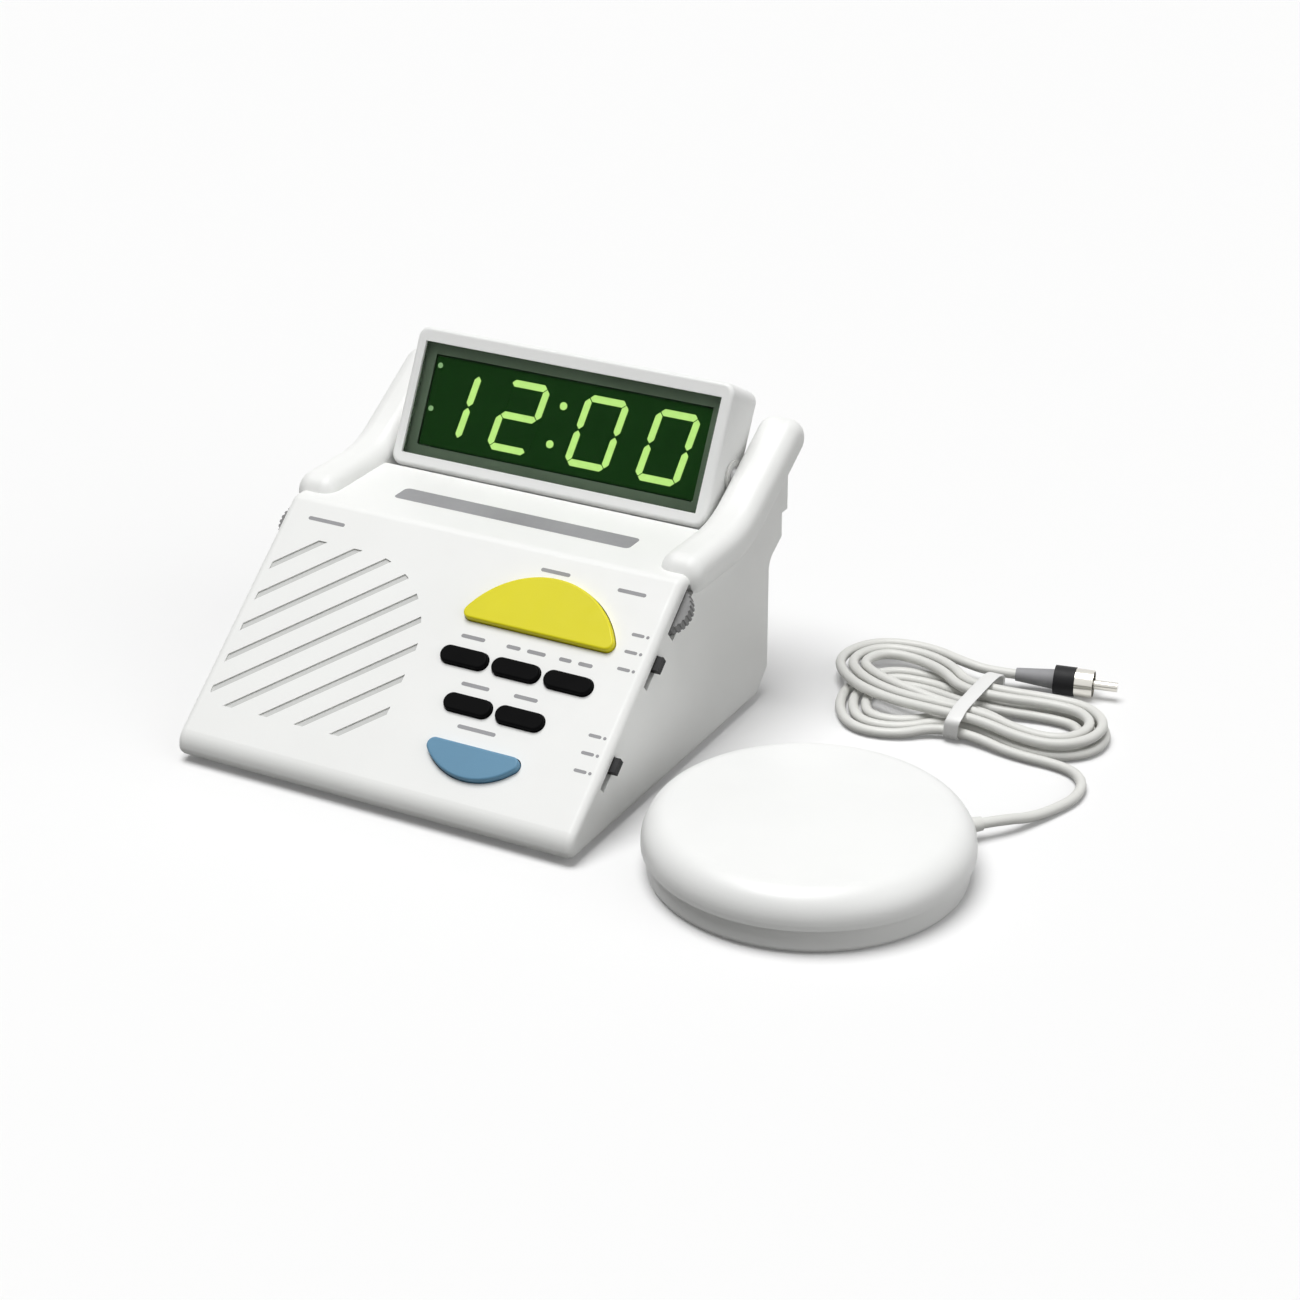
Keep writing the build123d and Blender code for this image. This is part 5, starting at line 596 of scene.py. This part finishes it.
made = bmesh.new()
for step in range(-SLOTS_EACH_SIDE, SLOTS_EACH_SIDE + 1):
    near = ends_in_field(SLOT_PITCH * step - RIB_HALF_WIDTH)
    far = ends_in_field(SLOT_PITCH * step + RIB_HALF_WIDTH)
    rib = [(GRILLE_X + spot.x, GRILLE_DROP - spot.y) for spot in (*near, *far[::-1])]
    block(made, on_panel, rib, RIB_LOW, RIB_HIGH)
insert = [
    (GRILLE_X + sx * INSERT_HALF[0], GRILLE_DROP + sy * INSERT_HALF[1])
    for sx, sy in ((-1, 1), (1, 1), (1, -1), (-1, -1))
]
block(made, on_panel, insert, INSERT_LOW, INSERT_HIGH)
mesh_piece("insert_and_slot_shade", made, "clock", insert_and_slot_shade_grey)


# Painted reflection of the bezel at the edges of the window: a grey border at the back of the
# window, as four bars

TILT = math.radians(28.0)
PIVOT = Vector((0, 66.0, 77.0))
# From the pivot to the middle of the head's front
FRONT_OUT, FRONT_UP = 12.99, 4.2
HEAD_OUT = Vector((0, -math.cos(TILT), math.sin(TILT)))
HEAD_UP = Vector((0, math.sin(TILT), math.cos(TILT)))
HEAD_ORIGIN = PIVOT + HEAD_OUT * FRONT_OUT + HEAD_UP * FRONT_UP
OUTER_X, OUTER_Y = 56.6, 19.9
INNER_X, INNER_Y = 52.4, 15.6
BORDER_LOW, BORDER_HIGH = -3.57, -3.5


def on_head(x, rise, lift):
    return HEAD_ORIGIN + Vector((x, 0, 0)) + HEAD_UP * rise + HEAD_OUT * lift


made = bmesh.new()
for left, right, low, high in (
    (-OUTER_X, OUTER_X, INNER_Y, OUTER_Y),
    (-OUTER_X, OUTER_X, -OUTER_Y, -INNER_Y),
    (-OUTER_X, -INNER_X, -INNER_Y, INNER_Y),
    (INNER_X, OUTER_X, -INNER_Y, INNER_Y),
):
    bar = ((left, low), (right, low), (right, high), (left, high))
    block(made, on_head, bar, BORDER_LOW, BORDER_HIGH)
mesh_piece("painted_bezel_reflection", made, "head", bezel_reflection_grey)


# Floor, light and world. Sizes are in metres.

FLOOR_SIZE = 6.0
FLOOR_Z = -0.0002
FLOOR_BOUNCE = (0.2, 0.2, 0.195, 1)
FLOOR_SHOWN = (0.79, 0.79, 0.79, 1)
FLOOR_GLOW = 0.11
WORLD_LIGHT = (1, 1, 0.985, 1)
WORLD_STRENGTH = 0.14


def seen(tree):
    """1 where the camera looks, also by a mirror or through glass, and 0 for light that bounces."""
    path = tree.nodes.new("ShaderNodeLightPath")
    total = path.outputs["Is Camera Ray"]
    for name in ("Is Glossy Ray", "Is Transmission Ray"):
        either = tree.nodes.new("ShaderNodeMath")
        either.operation = "MAXIMUM"
        tree.links.new(total, either.inputs[0])
        tree.links.new(path.outputs[name], either.inputs[1])
        total = either.outputs["Value"]
    return total


def either_of(tree, share, first, second):
    mix = tree.nodes.new("ShaderNodeMixShader")
    tree.links.new(share, mix.inputs[0])
    tree.links.new(first, mix.inputs[1])
    tree.links.new(second, mix.inputs[2])
    return mix.outputs[0]


floor_finish = bpy.data.materials.new("floor")
floor_finish.use_nodes = True
tree = floor_finish.node_tree
tree.nodes.remove(tree.nodes["Principled BSDF"])
bounce = tree.nodes.new("ShaderNodeBsdfDiffuse")
bounce.inputs["Color"].default_value = FLOOR_BOUNCE
shown = tree.nodes.new("ShaderNodeBsdfDiffuse")
shown.inputs["Color"].default_value = FLOOR_SHOWN
glow = tree.nodes.new("ShaderNodeEmission")
glow.inputs["Strength"].default_value = FLOOR_GLOW
both = tree.nodes.new("ShaderNodeAddShader")
tree.links.new(shown.outputs[0], both.inputs[0])
tree.links.new(glow.outputs[0], both.inputs[1])
surface = either_of(tree, seen(tree), bounce.outputs[0], both.outputs[0])
tree.links.new(surface, tree.nodes["Material Output"].inputs["Surface"])

made = bmesh.new()
bmesh.ops.create_grid(made, x_segments=1, y_segments=1, size=FLOOR_SIZE)
floor = new_object("floor", made, floor_finish)
floor.location = (0, 0, FLOOR_Z)


def sun(name, place, strength, spread):
    """Even light from the direction of a place, softened by its spread in degrees."""
    light = bpy.data.lights.new(name, "SUN")
    light.energy = strength
    light.angle = math.radians(spread)
    made = bpy.data.objects.new(name, light)
    made.rotation_mode = "QUATERNION"
    made.rotation_quaternion = (-Vector(place)).to_track_quat("-Z", "Y")
    bpy.context.scene.collection.objects.link(made)


sun("key", place=(-0.12, -0.1, 1.0), strength=2.72, spread=40.0)
sun("fill", place=(1.0, -0.1, 0.45), strength=0.8, spread=60.0)
world = bpy.data.worlds.new("world")
world.use_nodes = True
tree = world.node_tree
light = tree.nodes["Background"]
light.inputs["Color"].default_value = WORLD_LIGHT
light.inputs["Strength"].default_value = WORLD_STRENGTH
backdrop = tree.nodes.new("ShaderNodeBackground")
backdrop.inputs["Color"].default_value = (1, 1, 1, 1)
backdrop.inputs["Strength"].default_value = 1.0
surface = either_of(tree, seen(tree), light.outputs[0], backdrop.outputs[0])
tree.links.new(surface, tree.nodes["World Output"].inputs["Surface"])
bpy.context.scene.world = world
bpy.context.scene.view_settings.view_transform = "Standard"
